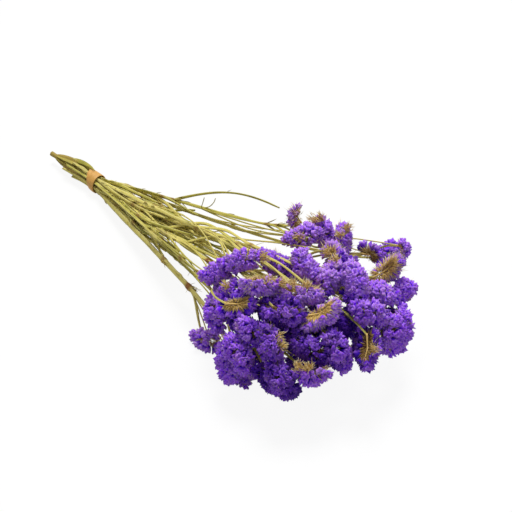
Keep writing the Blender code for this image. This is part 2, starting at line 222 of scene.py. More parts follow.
def lay_out():
    """Rows of points for every stem and stalk before any of them is moved aside."""
    spikes, strands = [], []
    for stem, (slot, row) in enumerate(zip(band_slots(), STEMS)):
        cut, fork_run, *spike_rows = row
        first = len(spikes)
        spikes += [Spike(spike_row) for spike_row in spike_rows]
        leader = spikes[first]
        forward = np.array([1.0, 0, 0])
        grip = slot + forward * GRIP_LENGTH
        middle = np.array([0, TIE_SIDE, TIE_HEIGHT])
        tail = middle + (slot - middle) * TAIL_FLARE - np.array([1, TAIL_LEAN, 0]) * cut * MM
        way = unit(leader.foot() - grip)
        main = smooth_curve(grip, forward * 0.2 + way * 0.8, leader.foot(),
                            way * 0.6 + leader.way_in() * 0.4, STEM_POINTS, reach=0.25)
        bow = np.sin(np.linspace(0, math.pi, len(main)))[:, None] ** 2
        main = main + bow * np.array(BOWED.get(stem, (0, 0, 0))) * MM
        points = np.vstack([tail, slot - forward * GRIP_LENGTH, main])
        radii = np.linspace(STEM_RADIUS, STEM_TIP_RADIUS, len(points))
        radii[:3] = GRIP_RADIUS
        strands.append(Strand(points, radii, stem, spike=first))
        trunk = len(strands) - 1
        for spike in range(first + 1, len(spikes)):
            foot = spikes[spike].foot()
            leaves_at = int(np.argmin(abs(points[:, 0] - (foot[0] - fork_run * MM))))
            start = points[leaves_at]
            side_way = points[leaves_at + 1] - start
            stalk = smooth_curve(start, side_way, foot,
                                 unit(foot - start) * 0.6 + spikes[spike].way_in() * 0.4, STALK_POINTS)
            radii = np.full(len(stalk), STALK_RADIUS)
            strands.append(Strand(stalk, radii, stem, spike, trunk, leaves_at))
        if stem == BARE_SHOOT_STEM:
            strands.append(bare_shoot(points, stem, trunk))
    return spikes, strands


def bare_shoot(points, stem, trunk):
    """A flowerless shoot that leaves its stem and arches over the bunch."""
    guides = np.array(BARE_SHOOT) * MM
    leaves_at = int(np.argmin(abs(points[:, 0] - guides[0, 0])))
    route = smooth_curve(points[leaves_at], guides[1] - guides[0],
                         guides[-1], guides[-1] - guides[-2], SHOOT_POINTS, reach=0.4)
    radii = np.linspace(STALK_RADIUS, 0.8 * MM, len(route))
    return Strand(route, radii, stem, None, trunk, leaves_at)


def nearest_points(start_a, end_a, start_b, end_b):
    """Where two rows of segments come nearest, as shares s and t along each of them."""
    run_a, run_b, apart = end_a - start_a, end_b - start_b, start_a - start_b
    aa, bb = (run_a ** 2).sum(-1), (run_b ** 2).sum(-1)
    ab, a, b = (run_a * run_b).sum(-1), (run_a * apart).sum(-1), (run_b * apart).sum(-1)
    spread = np.maximum(aa * bb - ab ** 2, 1e-18)
    s = np.clip((ab * b - a * bb) / spread, 0, 1)
    t = np.clip((ab * s + b) / bb, 0, 1)
    s = np.clip((ab * t - a) / aa, 0, 1)
    return s, t


def place_strands(strands, moved):
    """Each strand's points with the shifts of its spike and of the stem it grows from."""
    placed = []
    for strand in strands:
        share = np.linspace(0, 1, len(strand.points))[:, None]
        points = strand.points + strand.shift
        if strand.spike is not None:
            points = points + moved[strand.spike] * share ** 2
        if strand.parent is not None:
            held = placed[strand.parent][strand.leaves_at]
            points = points + (held - strand.points[0]) * (1 - share) ** 2
        placed.append(points)
    return placed


def settle(rounds=120):
    """Lays the bunch out and moves whatever touches apart, a little each round.

    Spikes and strands are rows of capsules. Two capsules of different pieces that are
    nearer than their radii and the gap are pushed apart by half of what is missing.
    A strand then smooths its own shift, and its ends stay on its spike and its stem.
    """
    spikes, strands = lay_out()
    moved = np.zeros((len(spikes), 3))
    owner, kind, index, share, radius = capsule_table(spikes, strands)
    pairs_a, pairs_b = capsule_pairs(owner, kind, index, strands)
    for _ in range(rounds):
        placed = place_strands(strands, moved)
        axes = [spike.axis() + shift for spike, shift in zip(spikes, moved)]
        starts = np.vstack([row[:-1] for row in placed + axes])
        ends = np.vstack([row[1:] for row in placed + axes])
        s, t = nearest_points(starts[pairs_a], ends[pairs_a], starts[pairs_b], ends[pairs_b])
        near_a = starts[pairs_a] + (ends[pairs_a] - starts[pairs_a]) * s[:, None]
        near_b = starts[pairs_b] + (ends[pairs_b] - starts[pairs_b]) * t[:, None]
        apart = near_a - near_b
        distance = np.maximum(np.linalg.norm(apart, axis=1), 1e-6)
        missing = radius[pairs_a] + radius[pairs_b] + GAP - distance
        touching = missing > 0
        push = apart / distance[:, None] * missing[:, None] * 0.5
        push_strands(strands, kind, index, share, pairs_a, push, touching, 1)
        push_strands(strands, kind, index, share, pairs_b, push, touching, -1)
        for pairs, sign in ((pairs_a, 1), (pairs_b, -1)):
            hit = touching & (kind[pairs] == 1)
            np.add.at(moved, index[pairs][hit], sign * 0.5 * push[hit])
        for spike, shift, axis in zip(spikes, moved, axes):
            shift[2] += max(0.0, PRESSED - axis[:, 2].min())
        smooth_shifts(strands, placed, moved)
    placed = place_strands(strands, moved)
    for strand, points in zip(strands, placed):
        points[:, 2] = np.maximum(points[:, 2], strand.radii)
    for spike, shift in zip(spikes, moved):
        spike.middle = spike.middle + shift
    return spikes, strands, placed


def capsule_table(spikes, strands):
    """Per capsule: the piece that owns it, 0 for a strand or 1 for a spike, its row, its
    place in that row and its radius."""
    owner, kind, index, share, radius = [], [], [], [], []
    for row, strand in enumerate(strands):
        for segment in range(len(strand.points) - 1):
            owner.append(strand.stem)
            kind.append(0)
            index.append(row)
            share.append(segment)
            radius.append(strand.radii[segment])
    for row, spike in enumerate(spikes):
        for segment in range(2):
            owner.append(len(STEMS) + row)
            kind.append(1)
            index.append(row)
            share.append(segment)
            radius.append(spike.radius)
    return map(np.array, (owner, kind, index, share, radius))


def capsule_pairs(owner, kind, index, strands):
    """Pairs of capsules of different pieces, but not a stalk with the spike it carries."""
    pairs_a, pairs_b = np.triu_indices(len(owner), 1)
    carries = np.array([-1 if strand.spike is None else strand.spike for strand in strands])
    own = ((kind[pairs_a] == 0) & (kind[pairs_b] == 1)
           & (carries[index[pairs_a] * (kind[pairs_a] == 0)] == index[pairs_b]))
    keep = (owner[pairs_a] != owner[pairs_b]) & ~own
    return pairs_a[keep], pairs_b[keep]


def push_strands(strands, kind, index, share, pairs, push, touching, sign):
    """Adds each push to the two points of the strand's segment that it acts on."""
    hit = touching & (kind[pairs] == 0)
    rows, segments, pushes = index[pairs][hit], share[pairs][hit], sign * push[hit]
    for row in np.unique(rows):
        mine = rows == row
        shift = strands[row].shift
        np.add.at(shift, segments[mine], 0.5 * pushes[mine])
        np.add.at(shift, segments[mine] + 1, 0.5 * pushes[mine])


def smooth_shifts(strands, placed, moved):
    """Evens each strand's own shift along it and keeps it off the floor.

    Its root is held, and what pushes its other end moves the spike it carries.
    """
    for strand, points in zip(strands, placed):
        shift = strand.shift
        shift[:, 2] += np.maximum(0, strand.radii - points[:, 2])
        shift[1:-1] = shift[1:-1] * 0.5 + (shift[:-2] + shift[2:]) * 0.25
        held = 3 if strand.parent is None else 1
        shift[:held] = 0
        if strand.spike is not None:
            moved[strand.spike] += 0.5 * shift[-1]
            shift[-1] = 0


def to_scene(points):
    """From the band's own frame to the bunch's: its middle at x = y = 0."""
    return np.asarray(points) - np.array([CENTRE_X, CENTRE_Y, 0])


def from_band(places):
    """Places in mm from the band's middle, in metres and in the bunch's own frame."""
    return to_scene(np.array(places) * MM)


# ---------------------------------------------------------------- this bunch's own plants

# Stems and spikes are named here by their numbers from 0, in the order of STEMS, and
# places are in mm from the band's middle, z from the surface.
# How each stem dried: 0 greenest, 1 palest straw.
STEM_TONES = (0.6, 0.15, 0.85, 0.5, 0.0, 0.7, 0.1, 0.8, 0.3, 0.9, 0.2, 1.0, 0.6, 0.15, 0.0)
# Stems that dried stouter than the others, by this factor.
STEM_GIRTHS = {11: 1.6}
# The stem whose cut end reaches furthest.
LONGEST_CUT_END = 0
# Brown knots on stems besides their forks, bare twigs, and a leaf caught in the band.
STEM_KNOTS = {11: ((183, -48, 33), (243, -64, 40))}
BARE_TWIGS = {8: (((148, 46, 32), (150, 47, 40), (152, 48, 49)),
                  ((150, 46, 32), (158, 50, 37), (163, 53, 45), (165, 54, 52)))}
TIE_LEAF = ((-50, 6, 18), (-38, 7, 21), (-25, 8, 23.5), (-12, 8, 25), (-2, 7, 24.5))
# Side stalks that pass over the others, with the stem that each leaves.
UPPER_STALKS = {
    3: (((194, 9, 64), (258, -10, 88), (300, -25, 104), (336, -28, 113), (380, -34, 106)),
        ((237, -4, 80), (285, -25, 98), (323, -30, 112), (372, -26, 106))),
    9: (((237, 2, 82), (284, -12, 100), (317, -15, 112), (374, 0, 104)),
        ((258, -14, 84), (300, -22, 106), (340, -20, 115), (384, -18, 104))),
}
# Spikes with small sprigs along their stalks, and where other sprigs stand; the sprigs'
# florets carry a deep painted shade and fill shaded gaps between the spikes.
SPRIGGED = {0, 13, 14, 16, 17, 35, 36}
LOW_SPRIGS = (
    (391, -20, 40), (379, -29, 45), (363, -79, 40), (351, -46, 45), (368, -43, 40), (334, -42, 60),
    (388, -38, 35), (398, -50, 48), (382, -6, 62), (400, 5, 50), (410, 11, 45), (439, 54, 58),
    (388, -78, 34), (337, -30, 66), (373, -13, 62), (398, -26, 52), (375, -45, 56), (367, -50, 46),
    (399, -59, 44), (382, -50, 36), (411, -26, 40), (405, -21, 60), (395, -50, 50), (364, -81, 36),
    (333, -46, 62), (342, -69, 40), (400, -4, 70), (411, 5, 62),
)
# Places on the spikes where bracts stand clear of the florets.
LOOSE_TUFTS = (
    (349, -66, 126), (358, -57, 126), (368, -47, 123), (377, -40, 123), (387, -30, 121),
    (403, -91, 100), (410, -92, 95), (434, -92, 80), (443, -86, 81), (352, 74, 111),
    (355, 60, 111), (316, 71, 105), (313, 63, 105), (315, -76, 102), (370, 21, 123),
    (384, 19, 123), (327, -34, 125), (317, 35, 101), (479, -27, 91),
)
# Painted shade and light on each spike, as a tone for its florets and bracts: 0 is the deepest
# painted shade, and values over the usual one paint a spike lighter where spikes crowd.
USUAL_SPIKE_SHADE = 0.95
PAINTED_SPIKE_SHADES = {0: 0.72, 6: 1.25, 9: 1.15, 10: 1.15, 11: 0.35, 12: 0.5, 13: 0.22, 14: 1.2, 17: 0.0,
               18: 0.1, 19: 0.3, 22: 0.55, 25: 1.3, 26: 0.65, 30: 0.75, 31: 1.15, 33: 0.7, 34: 1.5,
               35: 0.4, 36: 0.65, 38: 0.85, 39: 0.3, 40: 0.15, 41: 0.25, 42: 0.35, 43: 0.3}
# How far each spike's colour is moved towards pale lavender, where the others' isn't.
SPIKE_PALENESS = {0: 0.1, 3: 0.4, 6: 0.7, 7: 0.4, 8: 0.7, 9: 0.5, 10: 0.5, 14: 0.4, 15: 0.3, 16: 0.35,
               21: 0.3, 23: 0.9, 24: 0.3, 25: 0.6, 27: 0.25, 28: 0.25, 31: 0.2, 34: 0.7}
# Factors on the width of a spike's fan, its bracts' length and its florets' length.
SPIKE_SPREADS = {3: 0.55, 4: 0.85, 5: 0.75, 9: 0.66, 10: 0.66, 11: 0.8, 12: 0.85, 21: 0.75, 22: 0.7,
                 23: 0.6, 24: 0.85, 25: 0.85, 26: 0.7, 27: 0.62, 28: 0.72, 29: 0.66, 30: 0.8, 31: 0.75,
                 34: 1.05, 38: 0.8, 41: 1.1}
SPIKE_GOLDS = {3: 1.35, 5: 1.15, 8: 1.3, 9: 1.25, 10: 1.25, 14: 1.3, 23: 1.3, 26: 1.3, 30: 0.75,
               35: 1.2, 38: 1.15, 43: 1.3}
SPIKE_SIZES = {2: 0.92, 5: 0.85, 23: 0.85, 24: 0.92, 34: 1.1}

# What the pieces are made of.
STEM_SKIN = "dried_fibrous_stem"
CALYX_PAPER = "papery_violet_calyx"
BRACT_CHAFF = "golden_chaffy_bract"
BAND_LATEX = "natural_latex_rubber"

STEM_STEP = 2.4 * MM             # from one ring of a stem to the next
STALK_STEP = 3 * MM              # from one ring of a loose stalk to the next
TWIG_STEP = 2.5 * MM             # from one ring of a twig to the next
TWIG_SIDES = 6                   # sides of a twig's or a leaf's section
SHOOT_GIRTH = 1.35               # the bare shoot is this much stouter than in the solid
RACHIS_DEPTH = SPIKE_BACK - 2 * MM   # from a spike's axis back to the stalk inside it


# ---------------------------------------------------------------- surfaces

class Patch:
    """Points, faces and point values of one surface, kept as whole arrays."""

    def __init__(self, points, quads, tris, values, finish):
        self.points, self.quads, self.tris = points, quads, tris
        self.values, self.finish = values, finish


def resample(points, spacing):
    """Catmull-Rom curve through the points, read again at an even spacing.

    Between two points it is half of (2 b + (c - a) t + (2 a - 5 b + 4 c - d) t^2
    + (3 b - a - 3 c + d) t^3), with a to d the four points around the stretch.
    """
    readings = 12
    points = np.asarray(points, float)
    padded = np.vstack([2 * points[0] - points[1], points, 2 * points[-1] - points[-2]])
    a, b, c, d = (padded[i:len(padded) - 3 + i, None, :] for i in range(4))
    t = np.linspace(0, 1, readings, endpoint=False)[None, :, None]
    curve = 0.5 * (2 * b + (c - a) * t + (2 * a - 5 * b + 4 * c - d) * t ** 2
                   + (3 * b - a - 3 * c + d) * t ** 3)
    curve = np.vstack([curve.reshape(-1, 3), points[-1]])
    run = np.concatenate([[0], np.cumsum(np.linalg.norm(np.diff(curve, axis=0), axis=1))])
    count = max(3, int(round(run[-1] / spacing)) + 1)
    even = np.linspace(0, run[-1], count)
    return np.stack([np.interp(even, run, curve[:, k]) for k in range(3)], axis=1), even


def path_frame(path):
    """Tangents of a path and two ways across it.

    The first way across is square to the tangent and to the world axis that the path
    runs least along; the second is square to both.
    """
    tangent = unit(np.gradient(path, axis=0))
    helper = np.eye(3)[np.argmin(abs(tangent).max(axis=0))]
    across = unit(np.cross(helper, tangent))
    return tangent, across, np.cross(tangent, across)


def tube_rings(path, radius, angle):
    """Rings round a path: path + radius (across cos angle + other way across sin angle).

    radius has a value for each ring and each angle.
    """
    _, across, other = path_frame(path)
    radius = np.broadcast_to(radius, (len(path), angle.shape[-1]))[..., None]
    angle = np.broadcast_to(angle, (len(path), angle.shape[-1]))[..., None]
    return path[:, None] + radius * (across[:, None] * np.cos(angle)
                                     + other[:, None] * np.sin(angle))


def close_rings(rings, first_pole, last_pole, values, pole_values, finish):
    """Closed surfaces from stacks of rings: quads between rings, a fan over each end.

    rings is (copies, rings, around, 3); values maps a name to an array like rings or
    one axis shorter, and pole_values gives its value at the two poles of each copy.
    """
    copies, depth, around, _ = rings.shape
    body = depth * around
    each = body + 2
    points = np.concatenate([rings.reshape(copies, body, 3), first_pole[:, None],
                             last_pole[:, None]], axis=1).reshape(-1, 3)
    ring, turn = np.meshgrid(np.arange(depth - 1), np.arange(around), indexing="ij")
    here, beside = ring * around + turn, ring * around + (turn + 1) % around
    quads = np.stack([here, beside, beside + around, here + around], -1).reshape(-1, 4)
    turn = np.arange(around)
    after = (turn + 1) % around
    last = (depth - 1) * around
    tris = np.vstack([np.stack([np.full(around, body), after, turn], -1),
                      np.stack([np.full(around, body + 1), last + turn, last + after], -1)])
    start = (np.arange(copies) * each)[:, None, None]
    quads, tris = (quads + start).reshape(-1, 4), (tris + start).reshape(-1, 3)
    flat = {}
    for name, value in values.items():
        ends = np.stack(pole_values[name], axis=1)
        shape = (copies, body) + value.shape[3:]
        flat[name] = np.concatenate([value.reshape(shape), ends], axis=1).reshape(
            (copies * each,) + value.shape[3:])
    return Patch(points, quads, tris, flat, finish)


def everywhere(values, shape):
    """The same point values all over a stack of rings, and at its two poles."""
    filled, poles = {}, {}
    for name, value in values.items():
        value = np.asarray(value, float)
        filled[name] = np.broadcast_to(value, shape + value.shape)
        poles[name] = (value[None], value[None])
    return filled, poles


def make_piece(name, patches, finishes, cad_node):
    """One mesh object from patches; it replaces its solid and rides on the one body."""
    mesh = bpy.data.meshes.new(name)
    offsets = np.cumsum([0] + [len(patch.points) for patch in patches])
    points = np.vstack([patch.points for patch in patches])
    points[:, 2] = rest_on_surface(points[:, 2])
    quads = np.vstack([patch.quads + start for patch, start in zip(patches, offsets)])
    tris = np.vstack([patch.tris + start for patch, start in zip(patches, offsets)])
    index = {finish.name: number for number, finish in enumerate(finishes)}
    own = [index[patch.finish] for patch in patches]
    finish_of = np.concatenate([np.repeat(own, [len(patch.quads) for patch in patches]),
                                np.repeat(own, [len(patch.tris) for patch in patches])])
    mesh.vertices.add(len(points))
    mesh.vertices.foreach_set("co", points.ravel())
    mesh.loops.add(quads.size + tris.size)
    mesh.loops.foreach_set("vertex_index", np.concatenate([quads.ravel(), tris.ravel()]))
    sizes = np.concatenate([np.full(len(quads), 4), np.full(len(tris), 3)])
    mesh.polygons.add(len(sizes))
    mesh.polygons.foreach_set("loop_start", np.concatenate([[0], np.cumsum(sizes)[:-1]]))
    mesh.polygons.foreach_set("material_index", finish_of)
    for finish in finishes:
        mesh.materials.append(finish)
    for value_name in patches[0].values:
        value = np.concatenate([patch.values[value_name] for patch in patches])
        kind, key = ("FLOAT_VECTOR", "vector") if value.ndim == 2 else ("FLOAT", "value")
        layer = mesh.attributes.new(value_name, kind, "POINT")
        layer.data.foreach_set(key, value.ravel().astype(np.float32))
    mesh.update(calc_edges=True)
    mesh.validate()
    piece = bpy.data.objects.new(name, mesh)
    bpy.context.scene.collection.objects.link(piece)
    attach(piece, "root")
    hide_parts(cad_node)
    return piece


def rest_on_surface(height):
    """Heights under 3 mm fade towards the surface, as 3 exp((height - 3) / 3) mm."""
    soft = 3 * MM
    return np.where(height < soft, soft * np.exp(np.minimum(height - soft, 0) / soft), height)


# ---------------------------------------------------------------- materials

def linear(colour):
    """Linear colour of an sRGB hex value."""
    parts = [int(colour[i:i + 2], 16) / 255 for i in (0, 2, 4)]
    return [part / 12.92 if part <= 0.04045 else ((part + 0.055) / 1.055) ** 2.4
            for part in parts]


def add_node(tree, kind, settings=None, links=None, stops=()):
    """Adds a node, sets its properties or input values, and links its inputs.

    stops are a colour ramp's pairs of a place and a linear colour.
    """
    node = tree.nodes.new(kind)
    for key, value in (settings or {}).items():
        if isinstance(key, str) and hasattr(node, key):
            setattr(node, key, value)
        else:
            node.inputs[key].default_value = value
    for key, output in (links or {}).items():
        tree.links.new(output, node.inputs[key])
    for number, (place, colour) in enumerate(stops):
        bands = node.color_ramp.elements
        element = bands[number] if number < len(bands) else bands.new(1.0)
        element.position = place
        element.color = (*colour, 1)
    return node


def start_material(name):
    made = bpy.data.materials.new(name)
    made.use_nodes = True
    tree = made.node_tree
    return made, tree, tree.nodes["Principled BSDF"]


FIRST, SECOND, MIXED = 6, 7, 2    # a colour Mix node's two inputs and its output


def stem_material(look):
    """Dried herbaceous stem: a fibrous skin that dried from green to straw.

    Fine ribs run along it every 0.4 mm, drawn at 1 mm so that they show. The thin wing
    edges dried paler, and the forks and cut ends browner. Matt, with no gloss.
    """
    blotches, blotch_detail = 55.0, 3.0     # blotches about 18 mm across
    made, tree, shader = start_material(STEM_SKIN)
    grain, own_tone, edge, brown = (
        add_node(tree, "ShaderNodeAttribute", {"attribute_name": name})
        for name in ("grain", "tone", "edge", "brown"))
    place = add_node(tree, "ShaderNodeTexCoord")
    ribs = add_node(tree, "ShaderNodeTexNoise", {"Scale": 1.0, "Detail": 3.0},
                    {"Vector": grain.outputs["Vector"]})
    patches = add_node(tree, "ShaderNodeTexNoise", {"Scale": blotches, "Detail": blotch_detail},
                       {"Vector": place.outputs["Object"]})
    tone = add_node(tree, "ShaderNodeMath", {"operation": "MULTIPLY_ADD", 1: 0.55},
                    {0: own_tone.outputs["Fac"], 2: patches.outputs["Fac"]})
    body = add_node(tree, "ShaderNodeValToRGB", links={"Fac": tone.outputs["Value"]},
                    stops=((0.34, look.green), (0.66, look.olive), (0.98, look.straw)))
    streaks = add_node(tree, "ShaderNodeValToRGB", links={"Fac": ribs.outputs["Fac"]},
                       stops=((0.42, (0, 0, 0)), (0.80, (1, 1, 1))))
    colour = body.outputs["Color"]
    for amount, tint in ((streaks.outputs["Color"], look.straw),
                         (edge.outputs["Fac"], look.pale), (brown.outputs["Fac"], look.brown)):
        mixed = add_node(tree, "ShaderNodeMix", {"data_type": "RGBA", SECOND: (*tint, 1)},
                         {"Factor": amount, FIRST: colour})
        colour = mixed.outputs[MIXED]
    bump = add_node(tree, "ShaderNodeBump", {"Strength": 0.5, "Distance": 0.4 * MM},
                    {"Height": ribs.outputs["Fac"]})
    tree.links.new(colour, shader.inputs["Base Color"])
    tree.links.new(bump.outputs["Normal"], shader.inputs["Normal"])
    shader.inputs["Roughness"].default_value = 0.72
    shader.inputs["Specular IOR Level"].default_value = 0.3
    return made


def calyx_material(look):
    """Papery statice calyx: a dry ruffled funnel, violet at its mouth, tan at its tube.

    The colour runs with the point value bloom, 0 at the tube's foot and 1 on the rim,
    which is palest: partly the calyx's own paler edge, partly a painted highlight, while a
    lower bloom down in the throat is partly painted shade. Some calyces faded to lavender
    and some withered to tan. The point value tone multiplies in painted shade, down to the
    unlit colour at 0. Folds 0.3 mm apart, drawn at 1.2 mm, streak it. Dry paper hardly
    shines, and it is thin enough to let violet light through to its shaded side.
    """
    fold_scale = 800.0                      # folds about 1.2 mm apart
    unlit = (0.14, 0.06, 0.30)              # what deep shade leaves of the colour
    made, tree, shader = start_material(CALYX_PAPER)
    bloom, tone, fade, dry = (
        add_node(tree, "ShaderNodeAttribute", {"attribute_name": name})
        for name in ("bloom", "tone", "fade", "dry"))
    place = add_node(tree, "ShaderNodeTexCoord")
    folds = add_node(tree, "ShaderNodeTexNoise", {"Scale": fold_scale, "Detail": 2.0},
                     {"Vector": place.outputs["Object"]})
    strayed = add_node(tree, "ShaderNodeMath", {"operation": "MULTIPLY_ADD", 1: 0.8},
                       {0: folds.outputs["Fac"], 2: bloom.outputs["Fac"]})
    level = add_node(tree, "ShaderNodeMath", {"operation": "SUBTRACT", 1: 0.4},
                     {0: strayed.outputs["Value"]})
    fresh = add_node(tree, "ShaderNodeValToRGB", links={"Fac": level.outputs["Value"]},
                     stops=((0.04, look.gold), (0.12, look.tan), (0.22, look.throat),
                            (0.38, look.deep), (0.64, look.violet), (1.0, look.lavender)))
    faded = add_node(tree, "ShaderNodeValToRGB", links={"Fac": level.outputs["Value"]},
                     stops=((0.05, look.gold), (0.16, look.tan), (0.30, look.violet),
                            (0.70, look.lavender), (1.0, look.pale)))
    bleached = add_node(tree, "ShaderNodeMix", {"data_type": "RGBA"},
                        {"Factor": fade.outputs["Fac"], FIRST: fresh.outputs["Color"],
                         SECOND: faded.outputs["Color"]})
    withered = add_node(tree, "ShaderNodeMix",
                        {"data_type": "RGBA", SECOND: (*look.withered_colour, 1)},
                        {"Factor": dry.outputs["Fac"], FIRST: bleached.outputs[MIXED]})
    # Painted shade: the tone value darkens the colour, down to the unlit share at 0.
    shade = add_node(tree, "ShaderNodeValToRGB", links={"Fac": tone.outputs["Fac"]},
                     stops=((0.0, unlit), (0.74, (1, 1, 1))))
    body = add_node(tree, "ShaderNodeMix",
                    {"data_type": "RGBA", "blend_type": "MULTIPLY", "Factor": 1.0},
                    {FIRST: withered.outputs[MIXED], SECOND: shade.outputs["Color"]})
    tree.links.new(body.outputs[MIXED], shader.inputs["Base Color"])
    shader.inputs["Roughness"].default_value = 0.7
    shader.inputs["Specular IOR Level"].default_value = 0.1
    shader.inputs["Subsurface Weight"].default_value = 0.35
    shader.inputs["Subsurface Radius"].default_value = (0.35, 0.2, 1.0)
    shader.inputs["Subsurface Scale"].default_value = 1.5 * MM
    return made


def bract_material(look):
    """Chaffy bract: a dry golden scale with a browner foot and a bleached point."""
    unlit = (0.30, 0.24, 0.17)              # what deep shade leaves of the colour
    made, tree, shader = start_material(BRACT_CHAFF)
    bloom, tone = (add_node(tree, "ShaderNodeAttribute", {"attribute_name": name})
                   for name in ("bloom", "tone"))
    scale = add_node(tree, "ShaderNodeValToRGB", links={"Fac": bloom.outputs["Fac"]},
                     stops=((0.0, look.bract_foot), (0.45, look.gold), (1.0, look.chaff)))
    # Painted shade: the tone value darkens the bract's colour, down to the unlit share at 0.
    shade = add_node(tree, "ShaderNodeValToRGB", links={"Fac": tone.outputs["Fac"]},
                     stops=((0.0, unlit), (1.0, (1, 1, 1))))
    body = add_node(tree, "ShaderNodeMix",
                    {"data_type": "RGBA", "blend_type": "MULTIPLY", "Factor": 1.0},
                    {FIRST: scale.outputs["Color"], SECOND: shade.outputs["Color"]})
    tree.links.new(body.outputs[MIXED], shader.inputs["Base Color"])
    shader.inputs["Roughness"].default_value = 0.7
    shader.inputs["Specular IOR Level"].default_value = 0.3
    return made


def rubber_material(look):
    """Natural rubber band: extruded latex, matt tan with a dusty bloom and fine scuffs."""
    scuffs = 400.0                          # scuffs about 2.5 mm apart
    made, tree, shader = start_material(BAND_LATEX)
    place = add_node(tree, "ShaderNodeTexCoord")
    dust = add_node(tree, "ShaderNodeTexNoise", {"Scale": scuffs, "Detail": 4.0},
                    {"Vector": place.outputs["Object"]})
    body = add_node(tree, "ShaderNodeValToRGB", links={"Fac": dust.outputs["Fac"]},
                    stops=((0.3, look.shade), (0.6, look.colour)))
    bump = add_node(tree, "ShaderNodeBump", {"Strength": 0.2, "Distance": 0.2 * MM},
                    {"Height": dust.outputs["Fac"]})
    tree.links.new(body.outputs["Color"], shader.inputs["Base Color"])
    tree.links.new(bump.outputs["Normal"], shader.inputs["Normal"])
    shader.inputs["Roughness"].default_value = 0.55
    return made


# ---------------------------------------------------------------- stems

def winged_tube(path, run, radii, look, rng, brown_at, tone, main):
    """A stem with three thin wings that turn slowly round it.

    Ring radius at an angle: the core, plus the wing's reach times the sum over the three
    wings of exp(-(angle to the wing / 0.3)^2), plus a knot of 0.7 mm at each brown place.
    The core swells by 8 % every 57 mm. The wings' reach waves by
    0.3 sin(distance / 13 mm + p) sin(distance / 31 mm + q) and sinks to a quarter at both
    ends. On a main stem it is also at 45 % as far as the band, and grows to all of it
    60 mm on. Three-quarters of the wings' sum is their pale edge.
    """
    around = 18 if main else 12
    ribs_round, ribs_per_m = 4.5, 60     # the skin's grain: fine across, drawn out along
    wing_angles = np.array([0, 1, 2]) / 3 * math.tau
    angle = np.arange(around) / around * math.tau
    share = run / run[-1]
    scale = radii / STEM_RADIUS
    core = look.core * scale * (1 + 0.08 * np.sin(run / (9 * MM) + rng.uniform(0, 6)))
    wave = 0.7 + 0.3 * np.sin(run / (13 * MM) + rng.uniform(0, 6)) * np.sin(
        run / (31 * MM) + rng.uniform(0, 6))
    fade = np.minimum(1, np.minimum(share, 1 - share) * 12 + 0.25)
    past_band = np.clip((path[:, 0] + CENTRE_X) / (60 * MM), 0, 1) if main else 1.0
    reach = look.wing * scale * wave * fade * (0.45 + 0.55 * past_band)
    from_wing = np.angle(np.exp(1j * (angle[:, None] - wing_angles))).T
    wings = np.exp(-(from_wing / 0.3) ** 2).sum(0)
    knot = sum((np.exp(-((run - place) / (4.5 * MM)) ** 2) for place in brown_at),
               np.zeros_like(run))
    radius = core[:, None] + reach[:, None] * wings + 0.7 * MM * scale[:, None] * knot[:, None]
    twist = (rng.uniform(0, math.tau) + rng.uniform(-1, 1) * 5.0 * run)[:, None]
    rings = tube_rings(path, radius, angle + twist)
    shape = (len(path), around)
    brown = np.broadcast_to(np.clip(0.8 * knot[:, None], 0, 1), shape)
    grain = np.stack(np.broadcast_arrays(np.cos(angle) * ribs_round, np.sin(angle) * ribs_round,
                                         run[:, None] * ribs_per_m), -1)
    first = path[0]
    if main:
        rings, brown = slant_cut(rings, brown, rng)
        first = rings[0].mean(0)
    values = {"edge": np.broadcast_to(wings * 0.75, shape)[None], "brown": brown[None],
              "tone": np.full((1, *shape), tone), "grain": grain[None]}
    none, half_brown = np.zeros(1), np.full(1, 0.2)
    poles = {"edge": (none, none), "brown": (np.full(1, 0.75) if main else half_brown, half_brown),
             "tone": (none + tone, none + tone), "grain": (np.zeros((1, 3)),) * 2}
    return close_rings(rings[None], first[None], path[-1:], values, poles, STEM_SKIN)


def slant_cut(rings, brown, rng):
    """Slants the cut end: the first ring leans along the stem with its height and width."""
    middle = rings[0].mean(0)
    lean = (rings[0] - middle) @ np.array([0, rng.uniform(-1, 1), rng.uniform(0.2, 1.2)])
    rings, brown = rings.copy(), brown.copy()
    rings[0, :, 0] += lean
    brown[0] = 0.6
    return rings, brown


def skin(edge, brown, tone):
    """Point values of a leaf or a twig: how pale, how brown and how dry it is all over."""
    return {"edge": edge, "brown": brown, "tone": tone, "grain": np.zeros(3)}


def blade(path, run, width, thickness, lift, values):
    """A thin closed leaf along a path, with the same values all over.

    Half width across: width sin(pi share^0.7)^0.8; half thickness square to it is
    thickness times the root of that profile. lift is the way the leaf's face looks.
    """
    share = run / run[-1]
    profile = np.sin(math.pi * share ** 0.7) ** 0.8
    across = unit(np.cross(lift, unit(np.gradient(path, axis=0))))
    face = np.cross(unit(np.gradient(path, axis=0)), across)
    angle = np.arange(TWIG_SIDES) / TWIG_SIDES * math.tau
    inner = slice(1, -1)
    wide = (width * profile)[inner, None] * np.cos(angle)
    deep = (thickness * profile[inner] ** 0.5)[:, None] * np.sin(angle)
    rings = (path[inner, None] + across[inner, None] * wide[..., None]
             + face[inner, None] * deep[..., None])[None]
    filled, poles = everywhere(values, rings.shape[:3])
    return close_rings(rings, path[:1], path[-1:], filled, poles, STEM_SKIN)


def plain_twig(path, radius, values, finish=STEM_SKIN):
    """A round twig along a path, with the same values all over."""
    angle = np.arange(TWIG_SIDES) / TWIG_SIDES * math.tau
    rings = tube_rings(path, np.broadcast_to(radius, (len(path),))[:, None], angle)[None]
    filled, poles = everywhere(values, rings.shape[:3])
    return close_rings(rings, path[:1], path[-1:], filled, poles, finish)


